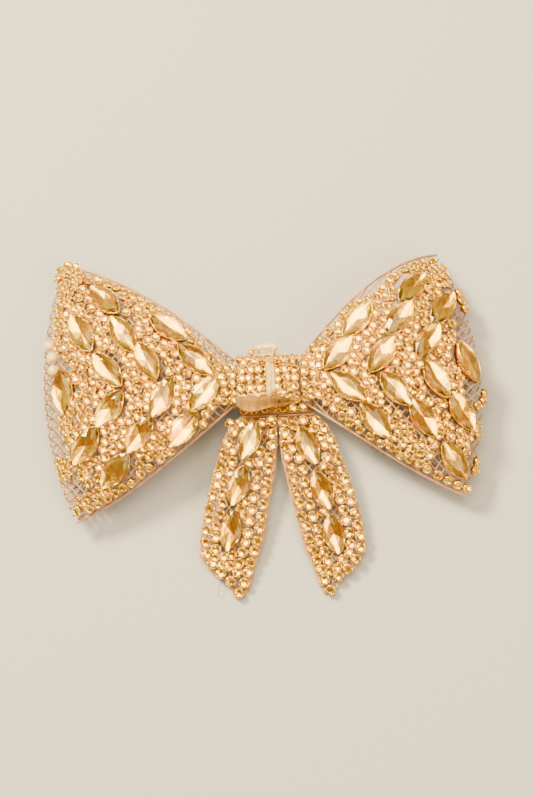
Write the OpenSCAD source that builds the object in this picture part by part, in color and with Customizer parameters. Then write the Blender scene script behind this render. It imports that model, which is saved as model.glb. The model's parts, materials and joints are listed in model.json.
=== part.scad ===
// Rhinestone bow on a sprung hair clip. Millimetres.
// X runs along the bow, Y towards its top, Z out of its face.
// The origin is the middle of the lower jaw's flat underside, on which the clip rests.

/* [Left loop] */
// Top corner of the left loop, outwards and upwards
left_top = [70, 45]; // [30:0.5:80]
// Bottom corner of the left loop, outwards and upwards
left_bottom = [68, -45.5]; // [-50:0.5:80]
// How far the left loop puffs out past the line between its corners
left_puff = 8.5; // [4:0.5:12]
// How round the left loop's top and bottom edges are
left_round = [0.65, 0.45]; // [0:0.05:1]

/* [Right loop] */
// Top corner of the right loop, outwards and upwards
right_top = [61.5, 43.5]; // [30:0.5:80]
// Bottom corner of the right loop, outwards and upwards
right_bottom = [66, -42]; // [-50:0.5:80]
// How far the right loop puffs out past the line between its corners
right_puff = 9.5; // [4:0.5:12]
// How round the right loop's top and bottom edges are
right_round = [0.95, 0.25]; // [0:0.05:1]

/* [Net] */
// Thickness of the doubled net
net_wall = 0.7; // [0.5:0.1:1]
// Height of a loop's front over its own slope, at the fullest place
loop_crown = 4.2; // [3:0.1:5]
// Share of a loop's length at which its outer fold starts
fold_start = 0.84; // [0.8:0.01:0.9]

/* [Stones] */
// Diameter of a round stone's cup
cup_d = 3.1; // [3:0.05:3.1]
// Height of a round stone's cup
cup_h = 1.35; // [1.2:0.05:1.5]
// Least distance between the middles of two round stones on the loops
stone_pitch = 3.16; // [3.16:0.02:3.8]
// Length of a marquise stone
marquise_l = 14.6; // [13:0.2:14.6]
// Width of a marquise stone
marquise_w = 7; // [6:0.5:7]
// Height of a marquise stone's table over the net
marquise_h = 3.7; // [3.2:0.1:4]

/* [Knot] */
// Width of the knot across the bow
knot_w = 21; // [20:0.5:22]
// Height of the knot from bottom to top
knot_tall = 14.8; // [14:0.2:15.4]
// Thickness of the knot's band
knot_wall = 1.2; // [1:0.1:1.4]
// Diameter of a pearl
pearl_d = 3.8; // [3.4:0.1:4]

/* [Tails] */
// Place of the line between the two tails
split_x = 2.7; // [2:0.1:3]
// Thickness of a tail's backing
tail_wall = 0.8; // [0.6:0.1:1]
// Least distance between the middles of two round stones on the tails
tail_pitch = 3.7; // [3.6:0.05:4]
// Gap between a tail's inner edge and the line between the tails
tail_gap = 0.25; // [0.2:0.05:0.4]

/* [Clip] */
// Length of the clip
clip_l = 52; // [50:1:56]
// Width of the clip's jaws
clip_w = 8; // [7.6:0.2:8.4]
// Thickness of the clip's sheet metal
clip_sheet = 0.8; // [0.7:0.1:0.9]
// Height of the closed clip
clip_tall = 7.4; // [7.2:0.1:7.6]
// Diameter of the hinge pin
pin_d = 1.8; // [1.6:0.1:2]

/* [Hidden] */

LEFT = -1;
RIGHT = 1;
round_fn = 24;
net_colour = "bisque";
gold_colour = "goldenrod";
crystal_colour = "cornsilk";
steel_colour = "silver";
step = 0.01;

// Stack behind the knot: clip, felt pad, band
felt_t = 1.2;
band_back = clip_tall + felt_t;
band_front = band_back + 8.6;
band_mid = (band_back + band_front) / 2;
loop_root = knot_w / 2 + 0.05;

// Heights of a loop's faces at its root and at its outer end
root_front = band_front - 0.8;
root_back = band_back + 0.6;
end_front = 13.5;
end_back = 0;
root_edge = knot_tall / 2 - 0.5;
seam_share = 0.55;
lens_power = 2.6;
lens_round = 0.55;
ring_points = 30;
ring_places = [
    0, 0.04, 0.1, 0.17, 0.25, 0.33, 0.41, 0.49, 0.57, 0.65, 0.73, 0.8,
    0.85, 0.89, 0.925, 0.955, 0.98, 0.999
];

// Marquise stones on each loop: outwards, upwards, turn of the long axis
left_marquises = [
    [33.7, 18.7, 35], [24.6, 7, 42], [22.2, -4.4, -52], [29.7, -16.2, -50],
    [54.5, 29.3, 49], [48.6, 16.8, 58], [40.5, 6.9, 63], [36.1, -5.4, -61],
    [44, -17.2, -56], [52.5, -28.7, -50], [62.7, 18.1, 64], [53.8, 4.8, 53],
    [53.5, -8.6, -53], [62.2, -20.3, -55], [69.3, -1.2, 90]
];
right_marquises = [
    [31.5, 18.4, 49], [24.4, 7, 48], [27.1, -4.4, -42], [35.7, -15.9, -52],
    [50.3, 29, 49], [45.3, 18.3, 53], [38.8, 5.8, 53], [42.9, -6, -51],
    [51.4, -15.8, -58], [61.4, -29.8, -58], [60.3, 21.6, 55], [54.4, 10.1, 58],
    [56.7, -3.2, -63], [64.6, -13.8, -61], [67.4, 3.2, -63]
];
// Bare spots where the net shows between the stones: outwards, upwards, radius
left_bare = [[68, -34, 3.4], [61, 34, 1.6], [43, -8, 1.5]];
right_bare = [[56, -31.5, 2.6], [36, 26, 2], [50.5, 0.5, 1.8]];

// Chevron rows of round stones
row_step = 1.05;
row_first = 11;
row_last = 74;
along_step = 0.8;
arm_near = 1;
arm_far = 0.62;
net_rim = 2.7;
bulge_covered = 0.3;

// Tail outlines, measured outwards from the line between the tails: upwards, outwards
tail_inner_edge = [[-73.5, 13.4], [-63, 10.2], [-55, 7.2], [-41, 4.2], [-30, 2], [-20, 0.3], [-11, 0]];
tail_outer_edge = [
    [-73.5, 16.6], [-67.6, 19.4], [-63.6, 25], [-58.5, 28.2], [-53.5, 28.2],
    [-43, 26.2], [-33, 23.4], [-20, 19.2], [-16, 17], [-12.5, 13.4], [-11, 12.6]
];
tail_marquise_places = [[9.9, -19.6, 67], [14.2, -34.9, 70], [17.6, -50, 79]];
right_tail_drop = 2.6;
tail_top = -11.6;
tail_tip = -73.5;
tail_hinge_z = 10.2;
tail_low_z = 0.45;
tail_slope = asin((tail_hinge_z - tail_low_z) / (tail_top - tail_tip));

function mix(a, b, t) = a + (b - a) * t;
function smooth(t) = t <= 0 ? 0 : t >= 1 ? 1 : t * t * (3 - 2 * t);
function clamp(t, low, high) = max(low, min(high, t));

// Outline of a loop: u runs from the knot to the fold, v from the bottom edge to the top edge
function top_corner(side) = side == LEFT ? left_top : right_top;
function bottom_corner(side) = side == LEFT ? left_bottom : right_bottom;
function puff(side) = side == LEFT ? left_puff : right_puff;
function roundness(side) = side == LEFT ? left_round : right_round;
function corner_line(side, v) = mix(bottom_corner(side).x, top_corner(side).x, (v + 1) / 2);
function loop_end(side, v) = corner_line(side, v) + puff(side) * (1 - v * v);
function edge_rise(u, round_share) = mix(u, sin(90 * u), round_share);
function edge_top(side, u) = mix(root_edge, top_corner(side).y, edge_rise(u, roundness(side)[0]));
function edge_bottom(side, u) = mix(-root_edge, bottom_corner(side).y, edge_rise(u, roundness(side)[1]));

// Height of a loop's front, back and seam
function front_rise(u) = mix(root_front, end_front, u) + loop_crown * sin(180 * u);
function back_rise(u) = mix(root_back, end_back, smooth((u - 0.27) / 0.5));
function seam_rise(u) = mix(back_rise(u), front_rise(u), seam_share);
function lens(v) = pow(max(0, 1 - pow(abs(v), lens_power)), lens_round);
function fold(u) = u < fold_start ? 1 : sqrt(max(0, 1 - pow((u - fold_start) / (1 - fold_start), 2)));

// One point of a loop's skin, a distance `deep` under the outer surface
function skin_point(side, u, angle, deep) =
    let (
        v = cos(angle),
        full = lens(v) * fold(u),
        out = mix(loop_root + deep, loop_end(side, v) - 1.5 * deep, u),
        high = edge_top(side, u) - 1.5 * deep,
        low = edge_bottom(side, u) + 1.5 * deep,
        rise = sin(angle) >= 0
            ? (front_rise(u) - seam_rise(u) - deep) * full
            : (back_rise(u) - seam_rise(u) + deep) * full
    )
    [side * out, mix(low, high, (v + 1) / 2), seam_rise(u) + rise];

// Place of a point (out, up) on a loop
function loop_v(side, u, up) =
    clamp(2 * (up - edge_bottom(side, u)) / (edge_top(side, u) - edge_bottom(side, u)) - 1, -1, 1);
function loop_u(side, out, up, tries = 5) =
    tries == 0
    ? clamp((out - loop_root) / (loop_end(side, 0) - loop_root), 0, 1)
    : let (
        u = loop_u(side, out, up, tries - 1),
        v = loop_v(side, u, up)
    )
    clamp((out - loop_root) / (loop_end(side, v) - loop_root), 0, 1);
function front_z(side, out, up) =
    let (
        u = loop_u(side, out, up),
        v = loop_v(side, u, up)
    )
    seam_rise(u) + (front_rise(u) - seam_rise(u)) * lens(v) * fold(u);

// Direction that a stone at (out, up) faces
function facing(side, out, up, reach = 1.6) =
    let (
        along = (front_z(side, out + reach, up) - front_z(side, out - reach, up)) / (2 * reach),
        across = (front_z(side, out, up + reach) - front_z(side, out, up - reach)) / (2 * reach),
        long = sqrt(1 + along * along + across * across)
    )
    [-side * along / long, -across / long, 1 / long];

// Packing of round stones
function in_marquise(p, m, margin) =
    let (
        d = [p.x - m.x, p.y - m.y],
        a = d.x * cos(m.z) + d.y * sin(m.z),
        b = d.y * cos(m.z) - d.x * sin(m.z),
        half_l = marquise_l / 2 + margin,
        half_w = marquise_w / 2 + margin
    )
    abs(a) < half_l && abs(b) < half_w * (1 - pow(a / half_l, 2) * 0.85);
function clear_of_marquises(p, marquises, margin) =
    len([for (m = marquises) if (in_marquise(p, m, margin)) 1]) == 0;
function clear_of_spots(p, spots, gap) =
    len([for (q = spots) if (norm(p - q) < gap) 1]) == 0;
function clear_of_bare(p, bare) =
    len([for (b = bare) if (norm(p - [b.x, b.y]) < b.z) 1]) == 0;
function pick(places, pitch, i = 0, kept = []) =
    i == len(places)
    ? kept
    : pick(places, pitch, i + 1, clear_of_spots(places[i], kept, pitch) ? concat(kept, [places[i]]) : kept);

function marquises(side) = side == LEFT ? left_marquises : right_marquises;
function bare_spots(side) = side == LEFT ? left_bare : right_bare;
function on_stone_field(side, p) =
    let (
        u = loop_u(side, p.x, p.y),
        v = loop_v(side, u, p.y)
    )
    p.x > loop_root + cup_d / 2
    && p.x < corner_line(side, v) + puff(side) * (1 - v * v) * bulge_covered
    && p.y < edge_top(side, u) - net_rim + step
    && p.y > edge_bottom(side, u) + net_rim - 0.7 - step;
function edge_row(side) = concat(
    [for (u = [0.02:step:0.98])
        [mix(loop_root, corner_line(side, 1), u), edge_top(side, u) - net_rim]],
    [for (u = [0.02:step:0.98])
        [mix(loop_root, corner_line(side, -1), u), edge_bottom(side, u) + net_rim - 0.7]]
);
function chevron_row(vertex, arm) =
    [for (up = [0:along_step:46]) for (way = [1, -1]) [vertex + up * arm, way * up]];
function chevron_rows() =
    [
        for (vertex = [row_first:row_step:row_last])
        each chevron_row(vertex, mix(arm_near, arm_far, clamp((vertex - 14) / 20, 0, 1)))
    ];
function outer_rows() =
    [for (vertex = [row_last:-row_step:-20]) each chevron_row(vertex, arm_far)];
function loop_spots(side) =
    pick([
        for (p = concat(edge_row(side), chevron_rows(), outer_rows()))
        if (
            on_stone_field(side, p)
            && clear_of_marquises(p, marquises(side), cup_d / 2 - 0.25)
            && clear_of_bare(p, bare_spots(side))
            && (side == RIGHT || clear_of_spots(p, pearl_places, (pearl_d + cup_d) / 2 + 0.2))
        )
        p
    ], stone_pitch);

tail_cup_r = 1.75;
function tail_in(up) = lookup(up, tail_inner_edge);
function tail_out(up) = lookup(up, tail_outer_edge);
function tail_marquises(side) =
    [for (m = tail_marquise_places) [m.x, m.y - (side == RIGHT ? right_tail_drop : 0), -m.z]];
function tail_columns(inset) = concat(
    [for (up = [tail_top - 2.2:-0.4:tail_tip]) [tail_in(up) + inset, up]],
    [for (up = [tail_top - 2.2:-0.4:tail_tip]) [tail_out(up) - inset, up]]
);
function tail_spots(side) =
    pick([
        for (p = concat(tail_columns(1.85), tail_columns(5.4), tail_columns(8.8), tail_columns(10.2)))
        if (
            clear_of_marquises(p, tail_marquises(side), tail_cup_r - 0.35)
            && p.x > tail_in(p.y) + tail_cup_r
            && p.x < tail_out(p.y) - tail_cup_r
            && p.y > tail_tip + 2
        )
        p
    ], tail_pitch);

knot_pitch = 3.05;
knot_columns = [-3:3];
knot_rows = [-1:1];
yoke_places = [-3:3];
yoke_pitch = 3.3;
yoke_middle = 1.4;
pearl_places = [[74.4, 15.4], [73.4, 10.9], [73, 6.2]];

// Small closed outlines
function marquise_outline(long, wide, n = 6) = [
    for (i = [0:2 * n - 1])
    let (t = cos(180 * i / n))
    [long / 2 * t, (i < n ? 1 : -1) * wide / 2 * (1 - t * t)]
];
function rounded_box(low, high, r, n = 5) = [
    for (corner = [0:3])
    for (i = [0:n])
    let (
        a = 90 * corner + 90 * i / n,
        cx = corner == 0 || corner == 3 ? high.x - r : low.x + r,
        cy = corner < 2 ? high.y - r : low.y + r
    )
    [cx + r * cos(a), cy + r * sin(a)]
];

// Closed skin through a list of rings, each with the same even number of points
module ring_skin(rings) {
    n = len(rings[0]);
    last = len(rings) - 1;
    base = last * n;
    half = n / 2;
    sides = [
        for (i = [0:last - 1])
        for (j = [0:n - 1])
        let (
            a = i * n + j,
            b = i * n + (j + 1) % n
        )
        each [[a, b, b + n], [a, b + n, a + n]]
    ];
    first_cap = [
        for (j = [0:half - 1])
        let (k = (n - j) % n)
        each (j == 0 ? [[0, n - 1, 1]] : j == half - 1 ? [[j, k, half]] : [[j, k, k - 1], [j, k - 1, j + 1]])
    ];
    last_cap = [for (f = first_cap) [base + f[2], base + f[1], base + f[0]]];
    polyhedron(points = [for (ring = rings) each ring], faces = concat(sides, first_cap, last_cap));
}

// Round wire through a list of points, for a path that lies mostly in planes across `up`
module wire(path, d, up = [0, 1, 0], n = 8) {
    last = len(path) - 1;
    rings = [
        for (i = [0:last])
        let (
            way = path[min(i + 1, last)] - path[max(i - 1, 0)],
            t = way / norm(way),
            s = cross(t, up) / norm(cross(t, up)),
            w = cross(s, t)
        )
        [for (j = [0:n - 1]) path[i] + d / 2 * (cos(360 * j / n) * s + sin(360 * j / n) * w)]
    ];
    ring_skin([for (i = [last:-1:0]) rings[i]]);
}

module loop_skin(side, deep) {
    rings = [
        for (u = ring_places)
        [for (j = [0:ring_points - 1]) skin_point(side, u, 360 * j / ring_points, deep)]
    ];
    if (side == LEFT)
        ring_skin(rings);
    else
        ring_skin([for (i = [len(rings) - 1:-1:0]) rings[i]]);
}

module loop_net(side) {
    color(net_colour) difference() {
        loop_skin(side, 0);
        loop_skin(side, net_wall);
    }
}

// Puts a piece on a loop's front, standing along the direction that the net faces there
module on_loop(side, out, up, turn = 0) {
    face = facing(side, out, up);
    translate([side * out, up, front_z(side, out, up)])
        rotate(a = acos(face.z), v = [-face.y, face.x, step / 1000])
            rotate(side * turn)
                children();
}

// Puts a piece on a tail's backing, (out, up) being measured in the flat of the tail
module on_tail(side, out, up, turn = 0) {
    tail_frame()
        translate([side * out, up - tail_top, tail_wall / 2])
            rotate(side * turn)
                children();
}

module tail_frame() {
    translate([split_x, tail_top, tail_hinge_z])
        rotate([tail_slope, 0, 0])
            children();
}

module cup() {
    difference() {
        translate([0, 0, -0.05])
            cylinder(d = cup_d, h = cup_h + 0.05, $fn = round_fn);
        translate([0, 0, 0.4])
            cylinder(d = cup_d - 0.4, h = cup_h, $fn = round_fn);
    }
}

module round_stone() {
    rotate_extrude($fn = round_fn)
        polygon([[0, 0.45], [0.6, 0.45], [1.4, 1.35], [1.4, 1.5], [0.85, 2], [0, 2]]);
}

module marquise_stone() {
    heights = [[0.45, 0.5], [1.5, 0.98], [1.8, 0.98], [marquise_h, 0.52]];
    ring_skin([
        for (i = [len(heights) - 1:-1:0])
        [
            for (p = marquise_outline(marquise_l, marquise_w))
            [p.x * heights[i][1] + (p.x > 0 ? -step : step), p.y * heights[i][1], heights[i][0]]
        ]
    ]);
}

module marquise_setting() {
    difference() {
        translate([0, 0, -0.05])
            linear_extrude(1.35)
                polygon(marquise_outline(marquise_l + 0.7, marquise_w + 0.8));
        translate([0, 0, 0.4])
            linear_extrude(2)
                polygon(marquise_outline(marquise_l + 0.1, marquise_w + 0.1));
    }
}

module loop_cups(side) {
    color(gold_colour)
        for (p = loop_spots(side))
            on_loop(side, p.x, p.y) cup();
}

module loop_stones(side) {
    color(crystal_colour)
        for (p = loop_spots(side))
            on_loop(side, p.x, p.y) round_stone();
}

module loop_settings(side) {
    color(gold_colour)
        for (m = marquises(side))
            on_loop(side, m.x, m.y, m.z) marquise_setting();
}

module loop_marquises(side) {
    color(crystal_colour)
        for (m = marquises(side))
            on_loop(side, m.x, m.y, m.z) marquise_stone();
}

// Knot
band_r = 3;
small_stone = 0.94;
core_d = 5;
core_z = band_mid;
module gathered_core() {
    color(net_colour)
        translate([-loop_root + 0.1, 0, core_z])
            rotate([0, 90, 0])
                cylinder(d = core_d, h = 2 * loop_root - 0.2, $fn = round_fn);
}

module binding_thread() {
    thread_d = 0.5;
    color("ivory")
        for (i = [-3:3])
            translate([i * 0.6, 0, core_z])
                rotate([0, 90, 0])
                    rotate_extrude($fn = round_fn)
                        translate([(core_d + thread_d) / 2 + 0.02, 0])
                            circle(d = thread_d, $fn = round_fn);
}

module band_profile(deep) {
    polygon(rounded_box(
        [band_back + deep, -knot_tall / 2 + deep],
        [band_front - deep, knot_tall / 2 - deep],
        band_r - deep
    ));
}

module knot_band() {
    color(net_colour)
        translate([-knot_w / 2, 0, 0])
            rotate([0, 90, 0])
                mirror([1, 0, 0])
                    linear_extrude(knot_w)
                        difference() {
                            band_profile(0);
                            band_profile(knot_wall);
                        }
}

// Three rows of small stones on the knot's front and one on each rounded shoulder
shoulder_turn = 50;
module on_knot() {
    for (column = knot_columns)
        for (row = knot_rows)
            translate([column * knot_pitch, row * knot_pitch, band_front])
                scale(small_stone)
                    children();
    for (column = knot_columns)
        for (way = [1, -1])
            translate([column * knot_pitch, way * (knot_tall / 2 - band_r), band_front - band_r])
                rotate([-way * shoulder_turn, 0, 0])
                    translate([0, 0, band_r])
                        scale(small_stone)
                            children();
}

module knot_cups() {
    color(gold_colour)
        on_knot() cup();
}

module knot_stones() {
    color(crystal_colour)
        on_knot() round_stone();
}

// Folded lower hem of the knot, two shallow lobes over the top of the tails
flap_z = band_mid + 1.2;
module knot_flap() {
    lobes = [
        [-9.5, -7.3], [-8.6, -8.8], [-5.5, -9.1], [-1.5, -8.3], [0.5, -8.1],
        [4, -8.7], [7.5, -8.3], [8.6, -7.3]
    ];
    color("tan")
        translate([0, 0, flap_z])
            linear_extrude(0.9)
                polygon(lobes);
}

strap_w = 3;
strap_t = 0.3;
module clear_strap() {
    front = band_front + 2;
    foot = band_front - 4.2;
    low = -knot_tall / 2 - 0.9;
    high = knot_tall / 2 + 1;
    outer = [[low, foot], [low, front - 3], [-5.5, front], [5.5, front], [high, front - 3], [high, foot]];
    inner = [for (p = outer) [p.x > 0 ? p.x - strap_t : p.x + strap_t, p.y > foot ? p.y - strap_t : p.y]];
    color("whitesmoke")
        translate([-0.7, 0, 0])
            rotate([90, 0, 90])
                linear_extrude(strap_w)
                    polygon(concat(outer, [for (i = [len(inner) - 1:-1:0]) inner[i]]));
}

module tape_end() {
    folds = [
        [8.45, 13], [9.5, 13.2], [11, 14.2], [12, 15], [11.6, 15.9], [10.6, 15.5], [9.3, 14.4], [8.45, 14.2]
    ];
    color("linen")
        translate([-3.6, 0, 0])
            rotate([90, 0, 90])
                linear_extrude(7)
                    polygon(folds);
}

module gold_bead() {
    color(gold_colour)
        translate([-5.1, 9.6, 15.4])
            rotate([20, 60, 0])
                rotate_extrude($fn = round_fn)
                    translate([0.75, 0])
                        circle(d = 0.9, $fn = round_fn);
}

function pearl_centre(p) = [-p.x, p.y, front_z(LEFT, p.x, p.y) + pearl_d / 2 + 0.1];
module pearls() {
    color("ivory")
        for (p = pearl_places)
            translate(pearl_centre(p))
                difference() {
                    sphere(d = pearl_d, $fn = round_fn);
                    rotate([90, 0, 10])
                        cylinder(d = 0.9, h = 2 * pearl_d, center = true, $fn = round_fn);
                }
}

module pearl_thread() {
    centres = [for (p = pearl_places) pearl_centre(p)];
    color("ivory")
        for (i = [0:1])
            let (
                way = centres[i + 1] - centres[i],
                gap = norm(way)
            )
            translate(centres[i])
                rotate([0, acos(way.z / gap), atan2(way.y, way.x)])
                    translate([0, 0, 0.2])
                        cylinder(d = 0.4, h = gap - 0.4, $fn = round_fn);
}

// Tails
yoke_half_w = 12.5;
yoke_row_y = -9.25;
module tail_yoke() {
    color(net_colour)
        translate([split_x - yoke_half_w, tail_top + 0.6, tail_hinge_z - tail_wall / 2])
            cube([2 * yoke_half_w, -knot_tall / 2 - 0.05 - tail_top - 0.6, tail_wall]);
}

module on_yoke() {
    for (place = yoke_places)
        translate([yoke_middle + place * yoke_pitch, yoke_row_y, tail_hinge_z + tail_wall / 2])
            children();
}

module yoke_cups() {
    color(gold_colour)
        on_yoke() cup();
}

module yoke_stones() {
    color(crystal_colour)
        on_yoke() round_stone();
}

// A tail's stones are a little larger than the loops'
tail_stone = tail_pitch / stone_pitch * 0.98;

// A tail's backing turns on a rolled upper edge that lies along the hinge line
module tail_backing(side) {
    inner = [for (p = tail_inner_edge) [side * (max(p[1], 0) + tail_gap), min(p[0], tail_top) - tail_top]];
    outer = [for (p = tail_outer_edge) [side * p[1], min(p[0], tail_top) - tail_top]];
    roll_start = side == LEFT ? -tail_out(tail_top) : tail_gap;
    color(net_colour)
        tail_frame() {
            translate([0, 0, -tail_wall / 2])
                linear_extrude(tail_wall)
                    polygon(concat(inner, [for (i = [len(outer) - 1:-1:0]) outer[i]]));
            translate([roll_start, 0, 0])
                rotate([0, 90, 0])
                    cylinder(d = tail_wall, h = tail_out(tail_top) - tail_gap, $fn = round_fn);
        }
}

module tail_cups(side) {
    color(gold_colour)
        for (p = tail_spots(side))
            on_tail(side, p.x, p.y)
                scale(tail_stone) cup();
}

module tail_stones(side) {
    color(crystal_colour)
        for (p = tail_spots(side))
            on_tail(side, p.x, p.y)
                scale(tail_stone) round_stone();
}

module tail_settings(side) {
    color(gold_colour)
        for (m = tail_marquises(side))
            on_tail(side, m.x, m.y, m.z) marquise_setting();
}

module tail_marquise_stones(side) {
    color(crystal_colour)
        for (m = tail_marquises(side))
            on_tail(side, m.x, m.y, m.z) marquise_stone();
}

// Clip
clip_front = -clip_l / 2;
pin_x = 14;
pin_z = 3.7;
ear_r = 2.4;
ear_t = 0.6;
beak_l = 9;
beak_teeth = 6;
beak_meet = 4.6;
beak_gap = 0.2;
running_gap = 0.05;
lower_ear_y = clip_w / 2 - ear_t - 0.25;
upper_low = clip_tall - clip_sheet;

module felt_pad() {
    pad_l = 34;
    pad_w = 12;
    color("linen")
        translate([0, 0, clip_tall])
            linear_extrude(felt_t)
                polygon(rounded_box([-pad_l / 2, -pad_w / 2], [pad_l / 2, pad_w / 2], pad_w / 2 - 0.5, 7));
}

// Saw-toothed edge of a beak's side wall, from the tip back, at the height of the bite
function beak_edge(shift) = [
    for (i = [0:2 * beak_teeth])
    [clip_front + beak_l * i / (2 * beak_teeth), beak_meet + (i % 2 == 0 ? -0.35 : 0.35) + shift - 0.12 * i]
];

module side_walls(y_outer, wall) {
    for (way = [1, -1])
        translate([0, way > 0 ? y_outer : wall - y_outer, 0])
            rotate([90, 0, 0])
                linear_extrude(wall)
                    children();
}

module pin_hole(d) {
    translate([pin_x, 0, pin_z])
        rotate([90, 0, 0])
            cylinder(d = d, h = 2 * clip_w, center = true, $fn = 48);
}

module ear_profile(foot_z) {
    foot = foot_z > pin_z ? foot_z - pin_z : pin_z - foot_z;
    translate([pin_x, pin_z])
        circle(r = ear_r, $fn = 48);
    translate([pin_x - ear_r, foot_z > pin_z ? pin_z : foot_z])
        square([2 * ear_r, foot]);
}

module upper_jaw() {
    color(steel_colour)
        difference() {
            union() {
                translate([clip_front, -clip_w / 2, upper_low])
                    cube([clip_l - 1, clip_w, clip_sheet]);
                side_walls(clip_w / 2, ear_t)
                    polygon(concat(
                        beak_edge(beak_gap / 2),
                        [[clip_front + beak_l, upper_low + 0.3], [clip_front, upper_low + 0.3]]
                    ));
                side_walls(clip_w / 2, ear_t)
                    ear_profile(upper_low + 0.3);
            }
            pin_hole(pin_d);
        }
}

module lower_jaw() {
    color(steel_colour)
        difference() {
            union() {
                translate([clip_front, -clip_w / 2, 0])
                    cube([clip_l, clip_w, clip_sheet]);
                side_walls(clip_w / 2, ear_t)
                    polygon(concat(
                        [[clip_front, 0.3]],
                        beak_edge(-beak_gap / 2),
                        [[clip_front + beak_l, 0.3]]
                    ));
                side_walls(lower_ear_y, ear_t)
                    ear_profile(0.3);
            }
            pin_hole(pin_d + 2 * running_gap);
        }
}

module hinge_pin() {
    pin_l = clip_w + 0.6;
    color(steel_colour) {
        translate([pin_x, 0, pin_z])
            rotate([90, 0, 0])
                cylinder(d = pin_d, h = pin_l, center = true, $fn = 48);
        for (way = [1, -1])
            translate([pin_x, way * (clip_w / 2 + 0.25), pin_z])
                rotate([90, 0, 0])
                    cylinder(d = pin_d + 0.8, h = 0.4, center = true, $fn = 48);
    }
}

// Torsion spring: one long leg under the upper jaw, four turns on the pin, one long leg on the lower jaw
spring_wire = 0.7;
spring_r = 1.55;
spring_turns = 4.5;
turn_points = 14;
module clip_spring() {
    half_y = 1.9;
    end_angle = 360 * spring_turns;
    coil = [
        for (i = [0:turn_points * spring_turns])
        let (a = 360 * i / turn_points)
        [pin_x + spring_r * sin(a), mix(-half_y, half_y, a / end_angle), pin_z + spring_r * cos(a)]
    ];
    upper_leg = [[pin_x - 11, -half_y, upper_low - 0.45], [pin_x - 6, -half_y, upper_low - 0.5]];
    lower_leg = [[pin_x - 6, half_y, clip_sheet + 0.6], [pin_x - 11, half_y, clip_sheet + 0.5]];
    color("gray")
        wire(concat(upper_leg, coil, lower_leg), spring_wire);
}

loop_net(LEFT);  // left_loop_net
loop_cups(LEFT);  // left_chain_cups
loop_stones(LEFT);  // left_chain_stones
loop_settings(LEFT);  // left_marquise_settings
loop_marquises(LEFT);  // left_marquise_stones
loop_net(RIGHT);  // right_loop_net
loop_cups(RIGHT);  // right_chain_cups
loop_stones(RIGHT);  // right_chain_stones
loop_settings(RIGHT);  // right_marquise_settings
loop_marquises(RIGHT);  // right_marquise_stones
gathered_core();
binding_thread();
knot_band();
knot_cups();
knot_stones();
knot_flap();
clear_strap();
tape_end();
gold_bead();
pearls();
pearl_thread();
tail_yoke();
yoke_cups();
yoke_stones();
tail_backing(LEFT);  // left_tail_backing
tail_cups(LEFT);  // left_tail_cups
tail_stones(LEFT);  // left_tail_stones
tail_settings(LEFT);  // left_tail_settings
tail_marquise_stones(LEFT);  // left_tail_marquises
tail_backing(RIGHT);  // right_tail_backing
tail_cups(RIGHT);  // right_tail_cups
tail_stones(RIGHT);  // right_tail_stones
tail_settings(RIGHT);  // right_tail_settings
tail_marquise_stones(RIGHT);  // right_tail_marquises
felt_pad();
upper_jaw();
hinge_pin();
clip_spring();
lower_jaw();
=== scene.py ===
"""Looks of a rhinestone bow on a sprung hair clip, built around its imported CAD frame."""

import json
import math

import bmesh
import bpy
import numpy as np
from mathutils import Matrix, Vector
from mathutils.bvhtree import BVHTree


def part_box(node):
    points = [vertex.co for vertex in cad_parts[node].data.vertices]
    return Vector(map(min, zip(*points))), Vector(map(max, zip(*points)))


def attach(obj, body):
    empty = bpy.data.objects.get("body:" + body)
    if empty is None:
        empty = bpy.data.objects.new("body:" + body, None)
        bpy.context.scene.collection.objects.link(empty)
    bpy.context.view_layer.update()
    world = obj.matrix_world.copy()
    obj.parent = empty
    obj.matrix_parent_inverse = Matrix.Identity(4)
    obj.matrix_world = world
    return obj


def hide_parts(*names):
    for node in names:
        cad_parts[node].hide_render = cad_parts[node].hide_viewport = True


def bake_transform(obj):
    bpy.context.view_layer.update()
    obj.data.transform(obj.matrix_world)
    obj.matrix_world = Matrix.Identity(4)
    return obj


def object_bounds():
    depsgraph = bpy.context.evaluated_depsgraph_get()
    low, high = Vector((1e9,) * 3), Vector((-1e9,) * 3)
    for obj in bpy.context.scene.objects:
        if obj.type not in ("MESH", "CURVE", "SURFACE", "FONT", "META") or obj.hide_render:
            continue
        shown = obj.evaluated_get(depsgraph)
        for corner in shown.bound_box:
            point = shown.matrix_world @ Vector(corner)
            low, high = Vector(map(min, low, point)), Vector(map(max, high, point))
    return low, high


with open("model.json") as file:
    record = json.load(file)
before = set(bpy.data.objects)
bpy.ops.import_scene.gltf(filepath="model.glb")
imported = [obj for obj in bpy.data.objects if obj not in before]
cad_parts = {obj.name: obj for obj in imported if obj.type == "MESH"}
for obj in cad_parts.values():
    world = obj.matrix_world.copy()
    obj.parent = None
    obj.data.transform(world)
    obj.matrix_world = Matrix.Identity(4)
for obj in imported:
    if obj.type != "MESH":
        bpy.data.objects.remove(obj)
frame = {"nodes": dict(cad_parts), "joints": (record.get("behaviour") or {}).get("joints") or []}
cad_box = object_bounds()
MM = 0.001
SIDES = ("left", "right")
# Both tails lift about one line, which the left tail's joint gives
tail_joint = next(joint for joint in frame["joints"] if joint["name"] == "left_tail_lift")
HINGE = Vector(tail_joint["pos_m"])
TAIL_LIFT = tail_joint["range_deg"][1]
chance = np.random.default_rng(20)


# ---------------------------------------------------------------- camera, floor and light

# Height that the picture spans at the bow, the lens and the film width in millimetres, angles in degrees
PICTURE_SPAN = 272.118 * MM
LENS = 85.0
FILM = 36.0
VIEW_ELEVATION = 79.0
VIEW_ROLL = 2.4
AIM = Vector((-0.0008, -0.0062, 0.013))
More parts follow.
